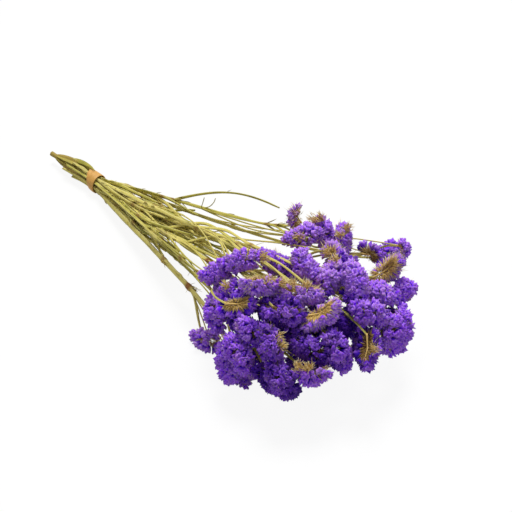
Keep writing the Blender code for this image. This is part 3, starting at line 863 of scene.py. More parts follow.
def fork_leaves(place, way, rng, tone, count, long):
    """Narrow leafy flaps that stand off a fork, each curling back a little.

    At a share t of its length a flap is 0.9 t along the stem, and 0.42 t less half its
    curl times t^2 aside of it.
    """
    leaves = []
    for _ in range(count):
        side = unit(np.cross(way, rng.normal(size=3)))
        length = long * rng.uniform(0.6, 1.15)
        t = np.linspace(0, 1, 9)[:, None]
        curl = rng.uniform(-0.25, 0.5)
        path = (place + way * length * (t * 0.9) + side * length * (0.42 * t - curl * t ** 2 * 0.5)
                + side * 1.2 * MM)
        values = skin(0.3, rng.uniform(0, 0.5), tone + rng.uniform(-0.2, 0.2))
        width = rng.uniform(0.9, 1.5) * MM
        leaves.append(blade(path, t[:, 0] * length, width, 0.25 * MM, side, values))
    return leaves


def leafy_wings(path, run, rng, tone, look):
    """Broad thin wings, torn loose here and there, that follow a stretch of a stem.

    Each is a blade whose face turns slowly round the stem, and whose path stands off it
    by 1.4 + 1.2 sin(distance / 17 mm + p) + 0.5 sin(distance / 2.2 mm) mm. Inside the
    band it is drawn in to at most a millimetre less than the band's inner radius.
    """
    wings = []
    middle = to_scene((0, TIE_SIDE, TIE_HEIGHT))
    _, across, other = path_frame(path)
    spacing = run[1] - run[0]
    for _ in range(look.ribbons):
        steps = int(rng.uniform(38, 100) * MM / spacing)
        begin = int(rng.uniform(0, 1) ** 1.6 * 0.72 * (len(path) - steps))
        chosen = slice(begin, begin + steps)
        along = run[chosen] - run[begin]
        turn = (rng.uniform(0, math.tau) + rng.uniform(-9, 9) * along)[:, None]
        face = across[chosen] * np.cos(turn) + other[chosen] * np.sin(turn)
        stand_off = (1.4 + 1.2 * np.sin(along / (17 * MM) + rng.uniform(0, 6))
                     + 0.5 * np.sin(along / (2.2 * MM)))[:, None] * MM
        course = path[chosen] + face * stand_off
        near = np.exp(-((course[:, :1] - middle[0]) / (16 * MM)) ** 4)
        off = (course - middle) * [0, 1, 1]
        reach = np.linalg.norm(off, axis=1, keepdims=True)
        course = course - off * near * np.maximum(0, 1 - (BAND_INNER_RADIUS - 1 * MM) / reach)
        values = skin(rng.uniform(0.0, 0.5), rng.uniform(0, 0.25), tone + rng.uniform(-0.5, 0.5))
        width = rng.uniform(1.3 * MM, look.ribbon) * (1 - 0.55 * near[:, 0])
        wings.append(blade(course, along, width, 0.3 * MM, face, values))
    return wings


def hair_twig(place, way, rng, tone, length):
    """A thin bare twig that bends away from its stem, 0.35 mm in radius at its foot."""
    side = unit(np.cross(way, rng.normal(size=3)))
    t = np.linspace(0, 1, 6)[:, None]
    path, run = resample(place + way * length * t * rng.uniform(0.4, 0.8)
                         + side * length * (t - 0.3 * t ** 2), TWIG_STEP)
    return plain_twig(path, 0.35 * MM * (1 - 0.6 * run / run[-1]), skin(0.1, 0.35, tone))


def way_at(path, spot):
    """The way a path runs on from one of its points."""
    return unit(path[spot + 1] - path[spot])


def between(along, path, other, blend):
    """Places at distances along the bunch: path's own, a share blend of the way to other."""
    course = np.empty((len(along), 3))
    course[:, 0] = along
    for axis in (1, 2):
        here = np.interp(along, path[:, 0], path[:, axis])
        there = np.interp(along, other[:, 0], other[:, axis])
        course[:, axis] = here + (there - here) * blend
    return course


def crossing_stalk(path, other, rng, tone, look):
    """A thin side stalk with a few leaves, which slants from one stem to another.

    Its share of the way to the other stem grows as a smooth step, drawn * t^2 (3 - 2 t).
    It bows by sin(pi t) and sin(2.6 pi t), a few millimetres each.
    """
    points = 12
    begin = rng.uniform(-15, 70) * MM - CENTRE_X
    furthest = min(path[-1, 0], other[-1, 0]) - 25 * MM
    end = min(begin + rng.uniform(90, 190) * MM, furthest)
    t = np.linspace(0, 1, points)
    blend = rng.uniform(0.35, 0.9) * t ** 2 * (3 - 2 * t)
    bow = np.sin(math.pi * t)[:, None] * rng.normal(0, 4.0 * MM, 2)
    bow = bow + np.sin(2.6 * math.pi * t)[:, None] * rng.normal(0, 1.3 * MM, 2)
    course = between(np.linspace(begin, end, points), path, other, blend)
    course[:, 1:] += bow
    course[:, 2] = np.maximum(course[:, 2], 3 * MM)
    course, run = resample(course, 3.2 * MM)
    radii = np.interp(run, [0, run[-1]], [1.9 * MM, rng.uniform(1.0, 1.6) * MM])
    knot = rng.uniform(0.25, 0.6) * run[-1]
    patches = [winged_tube(course, run, radii, look, rng, [knot], tone, False)]
    for spot in (np.array([0.2, 0.4, 0.65]) * len(course)).astype(int):
        way = way_at(course, spot)
        patches += fork_leaves(course[spot], way, rng, tone - 0.2, 1, look.leaf * 0.7)
    patches.append(hair_twig(course[spot], way, rng, tone, rng.uniform(6, 14) * MM))
    return patches


def spare_stalk(path, target, rng, tone):
    """A thin extra side stalk that leaves the stem early and bows on its way to a spike."""
    points = 9
    leaves_at = int(rng.uniform(0.38, 0.62) * len(path))
    start = path[leaves_at]
    route = smooth_curve(start, path[leaves_at + 1] - start, target, target - start, points)
    bow = np.sin(np.linspace(0, math.pi, points))[:, None] * rng.normal(0, 5 * MM, 3)
    route, run = resample(route + bow, STALK_STEP)
    route[:, 2] = np.maximum(route[:, 2], 2 * MM)
    return plain_twig(route, (1.0 - 0.35 * run / run[-1]) * MM, skin(0.15, 0.1, tone))


def upper_stalk(path, route, rng, tone, look):
    """A side stalk along a route of places; it leaves its stem 45 mm before the first.

    The straight route is evened three times, each point to a quarter of its neighbours
    and half of itself.
    """
    places = from_band(route)
    start = path[np.argmin(abs(path[:, 0] - places[0, 0] + 45 * MM))]
    knots = np.vstack([start, places])
    share = np.linspace(0, len(knots) - 1, 24)
    course = np.stack([np.interp(share, np.arange(len(knots)), knots[:, axis])
                       for axis in range(3)], -1)
    for _ in range(3):
        course[1:-1] = (course[:-2] + 2 * course[1:-1] + course[2:]) / 4
    course, run = resample(course, STALK_STEP)
    radii = np.interp(run, [0, run[-1]], [2.0 * MM, 1.3 * MM])
    return winged_tube(course, run, radii, look, rng, [0.55 * run[-1]], tone, False)


def end_leaves(path, others, rng, tone):
    """Brown leaf bases that wrap the longest cut end and spread over the other stems.

    Each follows the longest stem at its end and blends to another stem, or stays on it,
    by 42 mm on. Last come the stem's thick butt and the leaf caught in the band.
    """
    leaves = []
    for other in others + [path] * 4:
        begin = path[0, 0] + rng.uniform(1, 14) * MM
        along = np.arange(begin, rng.uniform(-26, -8) * MM - CENTRE_X, STALK_STEP)
        blend = np.clip((along - begin) / (42 * MM), 0, 1) * rng.uniform(0.6, 1.0)
        course = between(along, path, other, blend)
        lift = rng.normal(size=3) * [0, 1, 1]
        values = skin(rng.uniform(0, 0.2), rng.uniform(0.1, 0.6), tone + rng.uniform(-0.4, 0.1))
        width = rng.uniform(3.0, 4.4) * MM
        leaves.append(blade(course + unit(lift) * 1.5 * MM, along - begin, width, 0.4 * MM, lift,
                            values))
    butt = path[:12] - way_at(path, 0) * 4 * MM
    leaves.append(plain_twig(butt, np.linspace(3.5, 2.4, len(butt)) * MM,
                             skin(0.1, 0.55, tone - 0.2)))
    flap, run = resample(from_band(TIE_LEAF), STEM_STEP)
    leaves.append(blade(flap, run, 3.2 * MM, 0.5 * MM, np.array([0.3, -0.4, 1.0]),
                        skin(0.0, 0.1, tone - 0.5)))
    return leaves


def trunk_of(strands, stem):
    """The row of a stem's own strand, which comes before its side stalks."""
    return [strand.stem for strand in strands].index(stem)


def stem_patches(number, spikes, strands, placed, look):
    """Every surface of one stem: its winged tubes, and what grows on each of them."""
    rng = np.random.default_rng(500 + number)
    tone = STEM_TONES[number]
    stout = STEM_GIRTHS.get(number, 1.0) - 1.0
    trunk = trunk_of(strands, number)
    mine = [row for row, strand in enumerate(strands) if strand.stem == number]
    forks = [strands[row].leaves_at for row in mine[1:]]
    knots = [to_scene(placed[trunk][fork]) for fork in forks]
    knots += [from_band(place) for place in STEM_KNOTS.get(number, ())]
    patches = []
    for row in mine:
        strand = strands[row]
        path, run = resample(to_scene(placed[row]), STEM_STEP)
        radii = np.interp(run, np.linspace(0, run[-1], len(placed[row])), strand.radii)
        if strand.spike is None and row != trunk:
            radii = radii * SHOOT_GIRTH
        radii = radii * (1 + stout * np.clip(run / (110 * MM) - 0.6, 0, 1))
        main = row == trunk
        brown_at = [run[nearest(path, place)] for place in knots] if main else []
        patches.append(winged_tube(path, run, radii, look, rng, brown_at, tone, main))
        if main:
            main_path = path
            patches += trunk_growth(number, path, run, forks, strands, placed, rng, look)
            continue
        spot = len(path) // 2
        patches += fork_leaves(path[spot], way_at(path, spot), rng, tone, 1, look.leaf * 0.45)
        if strand.spike is not None:
            spike = spikes[strand.spike]
            inside = to_scene(spike.middle - spike.face * 5 * MM
                              + spike.along * rng.uniform(-0.3, 0.3) * spike.length)
            patches.append(spare_stalk(main_path, inside, rng, tone))
    return patches


def trunk_growth(number, path, run, forks, strands, placed, rng, look):
    """What a main stem carries: leaves and twigs, loose wings, and stalks that cross."""
    tone = STEM_TONES[number]
    trunk = placed[trunk_of(strands, number)]
    patches = []
    for fork in forks:
        way, place = way_at(trunk, fork), to_scene(trunk[fork])
        patches += fork_leaves(place, way, rng, tone, 2, look.leaf)
        patches.append(hair_twig(place, way, rng, tone, rng.uniform(8, 20) * MM))
    for share in rng.uniform(0.22, 0.75, 4):
        spot = int(share * len(path))
        way = way_at(path, spot)
        patches += fork_leaves(path[spot], way, rng, tone, 1, look.leaf * 0.7)
        patches.append(hair_twig(path[spot], way, rng, tone, rng.uniform(5, 13) * MM))
    patches += leafy_wings(path, run, rng, tone, look)
    for place in STEM_KNOTS.get(number, ()):
        spot = nearest(path, from_band(place))
        way = way_at(path, spot)
        patches += fork_leaves(path[spot], way, rng, tone, 4, look.leaf * 0.9)
        patches += [hair_twig(path[spot], way, rng, tone, 14 * MM) for _ in range(2)]
    for route in BARE_TWIGS.get(number, ()):
        twig, _ = resample(from_band(route), 2 * MM)
        patches.append(plain_twig(twig, 0.55 * MM, skin(0.1, 0.1, tone - 0.3)))
    for _ in range(look.crossings):
        near = number
        while near == number:
            near = int(rng.integers(len(STEMS)))
        other = to_scene(placed[trunk_of(strands, near)])
        patches += crossing_stalk(path, other, rng, tone + rng.uniform(-0.9, 0.9), look)
    if number == LONGEST_CUT_END:
        others = [to_scene(placed[trunk_of(strands, stem)])
                  for stem in range(len(STEMS)) if stem != number]
        patches += end_leaves(path, others, rng, tone)
    for route in UPPER_STALKS.get(number, ()):
        patches.append(upper_stalk(path, route, rng, tone, look))
    return patches


def nearest(path, place):
    """The number of the path's point that is nearest to a place."""
    return np.argmin(np.linalg.norm(path - place, axis=1))


# ---------------------------------------------------------------- flower spikes

def turned(directions, rolls):
    """For each direction, three ways: two across it, turned by its roll, and itself."""
    helper = np.where(abs(directions[:, 2:3]) < 0.8, [[0, 0, 1.0]], [[1.0, 0, 0]])
    first = unit(np.cross(helper, directions))
    second = np.cross(directions, first)
    cos, sin = np.cos(rolls)[:, None], np.sin(rolls)[:, None]
    return first * cos + second * sin, second * cos - first * sin, directions


def calyces(bases, directions, lengths, mouths, tints, rng):
    """Papery funnels: a thin tube that flares into a ruffled mouth and dips back in.

    The rings sit at the shares of the length and of the mouth's radius listed below. At
    an angle a the mouth's radius is 1 + 0.24 cos(2 a + p) + 0.16 cos(5 a + q), and its
    height adds 1.4 mm cos(3 a + r) + 0.9 mm cos(5 a + s), with the phases p to s drawn
    for each floret. Every point strays a little more: folds and a frayed rim.
    """
    count, around = len(bases), 12
    heights = np.array([0.36, 0.72, 0.97, 0.95])[:, None]
    widths = np.array([0.28, 0.78, 1.0, 0.5])[:, None]
    # Bloom rises to the rim, where the colour is palest: partly the calyx's paler edge, partly a
    # painted highlight.
    blooms = np.array([0.10, 0.55, 1.0, 0.85])[:, None]
    loose = np.array([0.0, 0.45, 1.0, 0.8])[:, None]
    angle = np.arange(around) / around * math.tau
    phase = rng.uniform(0, math.tau, (4, count, 1, 1))
    shape = (count, len(heights), around)
    radius = (mouths[:, None, None] * widths
              * (1 + loose * (0.24 * np.cos(2 * angle + phase[0])
                              + 0.16 * np.cos(5 * angle + phase[1])
                              + rng.normal(0, 0.10, shape))))
    height = (lengths[:, None, None] * heights
              + MM * loose * (1.4 * np.cos(3 * angle + phase[2])
                              + 0.9 * np.cos(5 * angle + phase[3])
                              + rng.normal(0, 0.45, shape)))
    first, second, out = turned(directions, rng.uniform(0, math.tau, count))
    ring = (first[:, None, None] * np.cos(angle)[:, None] + second[:, None, None]
            * np.sin(angle)[:, None])
    rings = bases[:, None, None] + ring * radius[..., None] + out[:, None, None] * height[..., None]
    start = bases + out * lengths[:, None] * 0.05
    throat = bases + out * lengths[:, None] * rng.uniform(0.80, 0.94, (count, 1))
    values = {"bloom": blooms + rng.normal(0, 0.10, shape) * loose}
    # The throat's lower bloom is partly painted shade down in the mouth.
    poles = {"bloom": (np.zeros(count), rng.uniform(0.5, 1.0, count))}
    for name, tint in tints.items():
        values[name] = np.broadcast_to(tint[:, None, None], shape)
        poles[name] = (tint, tint)
    return close_rings(rings, start, throat, values, poles, CALYX_PAPER)


def scales(bases, directions, lengths, widths, tones, rng):
    """Pointed bracts: three-sided blades, widest at a quarter, that bow to one side.

    At a share t of its length a bract has bowed by its drawn bow times length t^2.
    """
    count, sides = len(bases), 3
    share = np.array([0.25, 0.7])
    swell = np.array([1.0, 0.7])
    angle = np.arange(sides) / sides * math.tau
    first, second, out = turned(directions, rng.uniform(0, math.tau, count))
    bow = rng.uniform(-0.14, 0.20, count)
    middle = (bases[:, None] + out[:, None] * (lengths[:, None] * share)[..., None]
              + second[:, None] * (lengths[:, None] * bow[:, None] * share ** 2)[..., None])
    wide = (widths[:, None] * swell)[..., None, None] * np.cos(angle)[:, None]
    deep = (widths[:, None] * swell * 0.45)[..., None, None] * np.sin(angle)[:, None]
    rings = middle[:, :, None] + first[:, None, None] * wide + second[:, None, None] * deep
    tip = bases + out * lengths[:, None] + second * (lengths * bow)[:, None]
    shape = (count, len(share), sides)
    none = np.zeros(count)
    values = {"bloom": np.broadcast_to(share[:, None], shape),
              "tone": np.broadcast_to(tones[:, None, None], shape),
              "fade": np.zeros(shape), "dry": np.zeros(shape)}
    poles = {"bloom": (none, none + 1), "tone": (tones, tones), "fade": (none, none),
             "dry": (none, none)}
    return close_rings(rings, bases, tip, values, poles, BRACT_CHAFF)


def loose_tuft(place, spike, look, rng):
    """Bracts that stand clear of the florets, fanned out from a place on the spike."""
    count = look.tuft_bracts
    away = place - to_scene(spike.middle)
    away = unit(away - spike.along * (away @ spike.along) * 0.8)
    ways = unit(away + rng.normal(0, 0.5, (count, 3)))
    feet = place - away * 2 * MM + rng.normal(0, 2.2 * MM, (count, 3))
    lengths = rng.uniform(5.0, 9.5, count) * MM
    widths = rng.uniform(0.35, 0.6, count) * MM
    tones = np.clip(rng.normal(0.85, 0.25, count), 0, 1)
    return scales(feet, ways, lengths, widths, tones, rng)


def spike_patches(number, spike, stalk, low, tufts, look):
    """Every surface of one flower spike: rachis, bracts, calyces, withered corollas.

    The florets stand in staggered columns. Each leans to its side by the fan angle of its
    column, and towards the spike's ends by splay * (distance / half length)^1.8. Those
    that lean furthest are up to 26 % shorter. Along the spike their length swells and
    sinks by 1.3 mm sin(distance / 2.6 mm + p + 2 fan), which gathers them into tufts.
    A spike nearer the surface than 75 mm gets painted shade and less fading the lower it
    lies, so the higher spikes are painted lighter.
    """
    rng = np.random.default_rng(900 + number)
    half = max(spike.length / 2 - 8.5 * MM * spike.scale, 0.2 * spike.length)
    rows = max(4, int(round(2 * half / look.row_pitch)) + 1)
    spread = SPIKE_SPREADS.get(number, 1.0)
    reach = look.fan * spread
    place, fan = staggered(half, rows, reach, max(4, round(look.columns * spread)))
    count = len(fan)
    place = place + rng.normal(0, 1.0 * MM, count)
    fan = fan + rng.normal(0, math.radians(8), count)
    splay = look.splay * np.sign(place) * (abs(place) / half) ** 1.8
    splay = splay + rng.normal(0, math.radians(10), count)
    bases, ways = fan_out(spike, place, fan, splay)
    tuft = np.sin(place / (2.6 * MM) + rng.uniform(0, math.tau) + 2 * fan)
    lengths = look.floret * (1 - 0.26 * (abs(fan) / look.fan) ** 1.5)
    lengths = lengths * (1 - 0.10 * abs(splay) / look.splay)
    lengths = lengths + (1.3 * tuft + rng.normal(0, 1.1, count)) * MM
    lengths *= spike.scale * SPIKE_SIZES.get(number, 1.0)
    mouths = look.mouth * rng.uniform(0.75, 1.2, count) * spike.scale ** 0.5
    # Painted shade by height: below 75 mm a spike is painted darker and less pale.
    painted_low_shade = np.clip((75 * MM - spike.middle[2]) / (75 * MM), 0, 1)
    depth = PAINTED_SPIKE_SHADES.get(number, USUAL_SPIKE_SHADE) - 0.2 * painted_low_shade
    pale = SPIKE_PALENESS.get(number, 0.0) + 0.12 * (1 - painted_low_shade)
    tints = floret_tints(spike, bases + ways * lengths[:, None], depth, pale,
                         (abs(fan) / reach) ** 3, tuft, rng)
    flowers = calyces(bases, ways, lengths, mouths, tints, rng)
    bracts = bract_fan(spike, half, rows, depth, SPIKE_GOLDS.get(number, 1.0), look, rng)
    old = rng.random(count) < look.withered
    ends = (bases + ways * lengths[:, None] * 0.72)[old]
    withered = scales(ends, ways[old], lengths[old] * rng.uniform(0.25, 0.42, old.sum()),
                      rng.uniform(0.5, 1.0, old.sum()) * MM, np.ones(old.sum()), rng)
    withered.values["bloom"] = withered.values["bloom"] * 0.3 + 0.7
    patches = [flowers, bracts, withered, rachis(spike, half)]
    patches += sprigs(number, stalk, low, look, rng)
    return patches + [loose_tuft(place, spike, look, rng) for place in tufts]


def staggered(half, rows, reach, columns):
    """Each floret's place along its spike and its lean, every other row half a step on."""
    place, column = np.meshgrid(np.linspace(-half, half, rows), np.arange(columns),
                                indexing="ij")
    step = 2 * reach / (columns - 1)
    aside = np.where(np.arange(rows) % 2, 0.25, -0.25)[:, None]
    fan = -reach + column * step + aside * step
    return place.ravel(), fan.ravel()


def floret_tints(spike, ends, depth, pale, edge, tuft, rng):
    """How light, how faded and how withered each floret of a spike is; its lightness is
    partly random tone and partly painted shade.

    Where another spike's middle is near, the florets get a painted shade, by 0.6 times the
    sum of exp(-(gap / 19 mm)^2). The florets at the spike's edge faded and withered a little
    more, and the crests of its tufts are lighter.
    """
    count = len(ends)
    others = [to_scene(other.middle) for other in bunch()[0] if other is not spike]
    gaps = np.linalg.norm(ends[:, None] - others, axis=2)
    # Painted shade where other spikes crowd near.
    painted_crowd_shade = np.exp(-(gaps / (19 * MM)) ** 2).sum(axis=1)
    stray = 0.08 + 0.15 * depth
    tints = {"tone": depth + 0.1 - 0.6 * painted_crowd_shade + 0.12 * tuft + rng.normal(0, stray, count),
             "fade": pale + 0.2 * edge + rng.normal(0, 0.28, count),
             "dry": rng.normal(-0.6, 0.4, count) + 0.25 * edge}
    return {name: np.clip(tint, 0, 1) for name, tint in tints.items()}


def fan_out(spike, place, fan, splay):
    """Feet and ways of florets: fanned across the spike and splayed towards its ends."""
    foot_height = spike.droop(place) - RACHIS_DEPTH * spike.scale
    feet = (spike.middle + spike.along * place[:, None] * 0.92
            + spike.face * foot_height[:, None]
            + spike.side * (np.sin(fan) * 1.3 * MM)[:, None])
    ways = (np.cos(splay)[:, None] * (spike.face * np.cos(fan)[:, None]
                                      + spike.side * np.sin(fan)[:, None])
            + np.sin(splay)[:, None] * spike.along)
    return to_scene(feet), unit(ways)


def bract_fan(spike, half, rows, depth, gold, look, rng):
    """Bracts at every row, standing wider round the back than the florets do.

    Their feet sit up to the bract fan's angle round the rachis, and their tips lean out
    by 0.62 of that angle, so that the hindmost lie flat over the back. Those are the
    shortest: length (1.05 - 0.35 (angle / bract fan)^2).
    """
    place = np.repeat(np.linspace(-half, half, rows), look.bracts)
    side = np.tile(np.linspace(-1, 1, look.bracts), rows)
    count = len(place)
    place = place + rng.normal(0, 1.4 * MM, count)
    fan = side * look.bract_fan + rng.normal(0, math.radians(9), count)
    splay = look.splay * 1.1 * place / half + rng.normal(0, math.radians(14), count)
    feet, round_back = fan_out(spike, place, fan, 0 * splay)
    feet = feet + round_back * 1.6 * MM + rng.normal(0, 0.9 * MM, feet.shape)
    _, ways = fan_out(spike, place, fan * 0.62, splay)
    ways = unit(ways + rng.normal(0, 0.13, ways.shape))
    lengths = look.bract * (1.05 - 0.35 * np.clip(fan / look.bract_fan, -1, 1) ** 2)
    lengths = lengths * rng.uniform(0.55, 1.1, count) * spike.scale * gold
    widths = rng.uniform(0.3, 0.6, count) * MM
    # The bracts take their spike's painted shade as their tone, with a random spread.
    tones = np.clip(rng.normal(1.25 * depth - 0.35, 0.22, count), 0, 1)
    return scales(feet, ways, lengths, widths, tones, rng)


def rachis(spike, half):
    """The spike's own stalk: from the side stalk's end along the back of the spike."""
    stations = np.array([0.0, 0.5, 1.0]) * half
    depth = spike.droop(stations) - RACHIS_DEPTH * spike.scale
    back = spike.middle + spike.along * stations[:, None] + spike.face * depth[:, None]
    foot = spike.foot()
    path, run = resample(to_scene(np.vstack([foot - spike.way_in() * 1.5 * MM, foot, back])),
                         TWIG_STEP)
    return plain_twig(path, (1.2 - 0.7 * run / run[-1]) * MM,
                      {"bloom": 0.3, "tone": 0.8, "fade": 0, "dry": 0}, BRACT_CHAFF)


def sprigs(number, stalk, low, look, rng):
    """Small half-open sprigs on short twigs, off the stalk under a spike.

    Some stand 14 to 36 mm back along the stalk and some at the places in low, none lower
    than 12 mm. A sprig's twig leaves the stalk about 8 mm before it. Their florets carry a
    deep painted shade, tone 0 to 0.4, that fills the shaded gaps under the spikes.
    """
    patches = []
    stalk = to_scene(stalk)
    tips = list(low)
    if number in SPRIGGED:
        left = np.linalg.norm(np.diff(stalk, axis=0), axis=1)[::-1].cumsum()[::-1]
        for back in rng.uniform(14, 36, look.sprigs) * MM:
            spot = int(np.argmin(abs(left - back)))
            way = way_at(stalk, spot)
            side = unit(np.cross(way, rng.normal(size=3)) + [0, 0, 0.3])
            tips.append(stalk[spot] + side * rng.uniform(5, 10) * MM + way * 8 * MM)
    count = look.sprig_florets
    for tip in tips:
        tip[2] = max(tip[2], 12 * MM)
        start = stalk[nearest(stalk, tip - [8 * MM, 0, 0])]
        out = unit(rng.normal(0, 0.6, (count, 3)) + unit(tip - start) * 0.5 + [0, 0, 0.25])
        lengths = rng.uniform(8, 12, count) * MM
        mouths = rng.uniform(2.4, 3.4, count) * MM
        # Painted shade: the sprig florets are made dark.
        tints = {"tone": rng.uniform(0.0, 0.4, count), "fade": rng.uniform(0, 0.1, count),
                 "dry": np.clip(rng.normal(-0.2, 0.3, count), 0, 1)}
        feet = tip + rng.normal(0, 2.6 * MM, (count, 3))
        patches.append(calyces(feet, out, lengths, mouths, tints, rng))
        bend = (start + tip) / 2 + np.array([2, 0, 1]) * MM
        twig, _ = resample(np.array([start, bend, tip]), TWIG_STEP)
        patches.append(plain_twig(twig, 0.6 * MM, {"bloom": 0.4, "tone": 0.5, "fade": 0, "dry": 0},
                                  BRACT_CHAFF))
    return patches


# ---------------------------------------------------------------- rubber band

def band_patches(look):
    """A flat band wound round the bundle and gathered at its lower front.

    Each turn is a closed strip with a rounded flat oblong section, 1 mm thick. At an
    angle g from the broadest place the strips together are mean + swing cos g wide, and
    their middle has shifted along the bundle by 1.2 mm - 4 mm cos g. The radius of each
    waves by 0.15 mm three times round, and each turn lies 0.35 mm over the last.
    """
    steps, around = 72, 12
    overlap, strip_share = 0.35, 0.72     # of the width of all the turns together
    angle = np.arange(steps) / steps * math.tau
    section = np.arange(around) / around * math.tau
    across = 0.5 * np.sign(np.cos(section)) * abs(np.cos(section)) ** 0.5
    out = 0.5 * MM * np.sign(np.sin(section)) * abs(np.sin(section)) ** 0.6
    broad = np.cos(angle - look.broadest)
    wide = look.mean_width + look.swing * broad
    ring, side = np.meshgrid(np.arange(steps), np.arange(around), indexing="ij")
    here, ahead, beside = ring * around, (ring + 1) % steps * around, (side + 1) % around
    quads = np.stack([here + side, here + beside, ahead + beside, ahead + side], -1)
    patches = []
    for turn in range(look.turns):
        spread = (turn - (look.turns - 1) / 2) / max(1, look.turns - 1)
        middle = (1.2 - 4.0 * broad) * MM + spread * overlap * wide
        radius = BAND_INNER_RADIUS + (0.6 + 0.35 * turn + 0.15 * np.cos(3 * angle + turn)) * MM
        x = middle[:, None] + strip_share * wide[:, None] * across
        r = radius[:, None] + out[None]
        points = np.stack([x, TIE_SIDE + r * np.cos(angle)[:, None],
                           TIE_HEIGHT + r * np.sin(angle)[:, None]], -1)
        points = to_scene(points.reshape(-1, 3))
        patches.append(Patch(points, quads.reshape(-1, 4), np.zeros((0, 3), int), {},
                             BAND_LATEX))
    return patches


# ---------------------------------------------------------------- settings

def colour_property(name, description, default):
    return FloatVectorProperty(name=name, description=description, subtype="COLOR", size=3,
                               min=0, max=1, default=linear(default))


def length_property(name, description, default):
    return FloatProperty(name=name, description=description, unit="LENGTH", default=default)


def angle_property(name, description, degrees):
    return FloatProperty(name=name, description=description, subtype="ANGLE",
                         default=math.radians(degrees))


def share_property(name, description, default):
    return FloatProperty(name=name, description=description, subtype="FACTOR", min=0, max=1,
                         default=default)


def count_property(name, description, default):
    return IntProperty(name=name, description=description, min=0, default=default)


class StaticeStems(bpy.types.PropertyGroup):
    core: length_property("Core radius", "Radius of a main stem between its wings", 1.8 * MM)
    wing: length_property("Wing reach", "How far a wing stands off the core", 1.5 * MM)
    leaf: length_property("Leaf length", "Length of a leafy flap at a fork", 17 * MM)
    crossings: count_property("Crossings", "Stalks from each stem to another", 4)
    ribbons: count_property("Loose wings", "Broad wings along each stem", 9)
    ribbon: length_property("Loose wing", "Half width of the widest loose wing", 3 * MM)
    green: colour_property("Green", "Stems that dried greenest", "868A26")
    olive: colour_property("Olive", "Most of the stems", "B8B03E")
    straw: colour_property("Straw", "Stems that dried palest", "E0D270")
    pale: colour_property("Wing edge", "Thin edges of the wings", "E4DA98")
    brown: colour_property("Fork", "Forks, scars and cut ends", "8A5C2C")


class StaticeFlowers(bpy.types.PropertyGroup):
    row_pitch: length_property("Row pitch", "From one row of florets to the next", 2.6 * MM)
    floret: length_property("Floret length", "From a floret's foot to its mouth", 15.6 * MM)
    mouth: length_property("Mouth radius", "Radius of a calyx at its mouth", 3.5 * MM)
    bract: length_property("Bract length", "Length of the longest bracts", 12.6 * MM)
    columns: count_property("Columns", "Florets across a spike", 8)
    bracts: count_property("Bracts", "Bracts in each row", 48)
    sprigs: count_property("Sprigs", "Small sprigs under an inner spike", 4)
    sprig_florets: count_property("Sprig florets", "Florets in a sprig", 12)
    tuft_bracts: count_property("Loose bracts", "Bracts in each loose tuft", 80)
    fan: angle_property("Fan", "How far florets lean to each side", 74)
    bract_fan: angle_property("Bract fan", "How far bracts stand round the back", 150)
    splay: angle_property("Splay", "How far the end florets lean outward", 60)
    withered: share_property("Withered", "Share of calyces with a withered corolla", 0.10)
    # Rim colour: partly the calyx's paler edge, partly a painted highlight.
    lavender: colour_property("Rim", "Palest edge of a calyx", "B676FF")
    violet: colour_property("Violet", "Most of a calyx's mouth", "862CFF")
    deep: colour_property("Deep", "Deeper in the mouth", "651CFF")
    throat: colour_property("Throat", "Where the tube turns violet", "5C1EC4")
    pale: colour_property("Faded rim", "Rim of a faded calyx", "D2A4FF")
    withered_colour: colour_property("Withered", "Calyces that dried brown", "B894A0")
    tan: colour_property("Tube", "Upper part of a calyx tube", "D4B474")
    gold: colour_property("Gold", "Lower tube and bracts", "FFDC86")
    chaff: colour_property("Chaff", "Bleached points of bracts", "FFF0C4")
    bract_foot: colour_property("Bract foot", "Foot of a bract", "E0BC68")


class StaticeBand(bpy.types.PropertyGroup):
    turns: count_property("Turns", "Times the band goes round", 2)
    mean_width: length_property("Width", "Width of all the turns together", 14 * MM)
    swing: length_property("Gathered", "How much that width grows and shrinks", 5 * MM)
    broadest: angle_property("Broadest", "Where round the bundle it is widest", 37)
    colour: colour_property("Colour", "Stretched latex", "DCA652")
    shade: colour_property("Shade", "Dustier parts", "D09A46")


class StaticeStage(bpy.types.PropertyGroup):
    azimuth: angle_property("Azimuth", "Camera's turn round the bunch", 44)
    elevation: angle_property("Elevation", "Camera's height angle", 44)
    distance: length_property("Distance", "Camera to the rubber band", 1.7)
    lens: FloatProperty(name="Lens", description="Focal length in millimetres", default=95)
    key: FloatProperty(name="Key", description="Strength of the overhead lamp", default=2.52)
    key_width: angle_property("Key width", "How broad the lamp looks, which softens shadows", 24)
    key_tilt: angle_property("Key tilt", "Lean of the lamp from straight above", 27)
    key_turn: angle_property("Key turn", "Turn of that lean about the bunch", 220)
    fill: share_property("Fill", "Strength of the white surround", 0.34)


# ---------------------------------------------------------------- operators

LAYOUT = {}


def bunch():
    """The settled layout, worked out once and checked against the solids.

    A spike may be 6 mm from the middle of its solid's box, because the solid is arched, and
    a stem's cut end 0.5 mm from its solid's.
    """
    if not LAYOUT:
        spikes, strands, placed = settle()
        LAYOUT.update(spikes=spikes, strands=strands, placed=placed)
        for number, spike in enumerate(spikes):
            low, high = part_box(f"flower_spike_{number + 1:02d}")
            off = np.linalg.norm(to_scene(spike.middle) - (np.array(low) + np.array(high)) / 2)
            if off > 6 * MM:
                raise RuntimeError(f"spike {number + 1} is {off:.4f} m away from its solid")
        for number in range(len(STEMS)):
            low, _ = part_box(f"stem_{number + 1:02d}")
            off = abs(to_scene(placed[trunk_of(strands, number)])[0, 0] - low[0])
            if off > 0.5 * MM:
                raise RuntimeError(f"stem {number + 1} is cut {off:.4f} m away from its solid")
    return LAYOUT["spikes"], LAYOUT["strands"], LAYOUT["placed"]


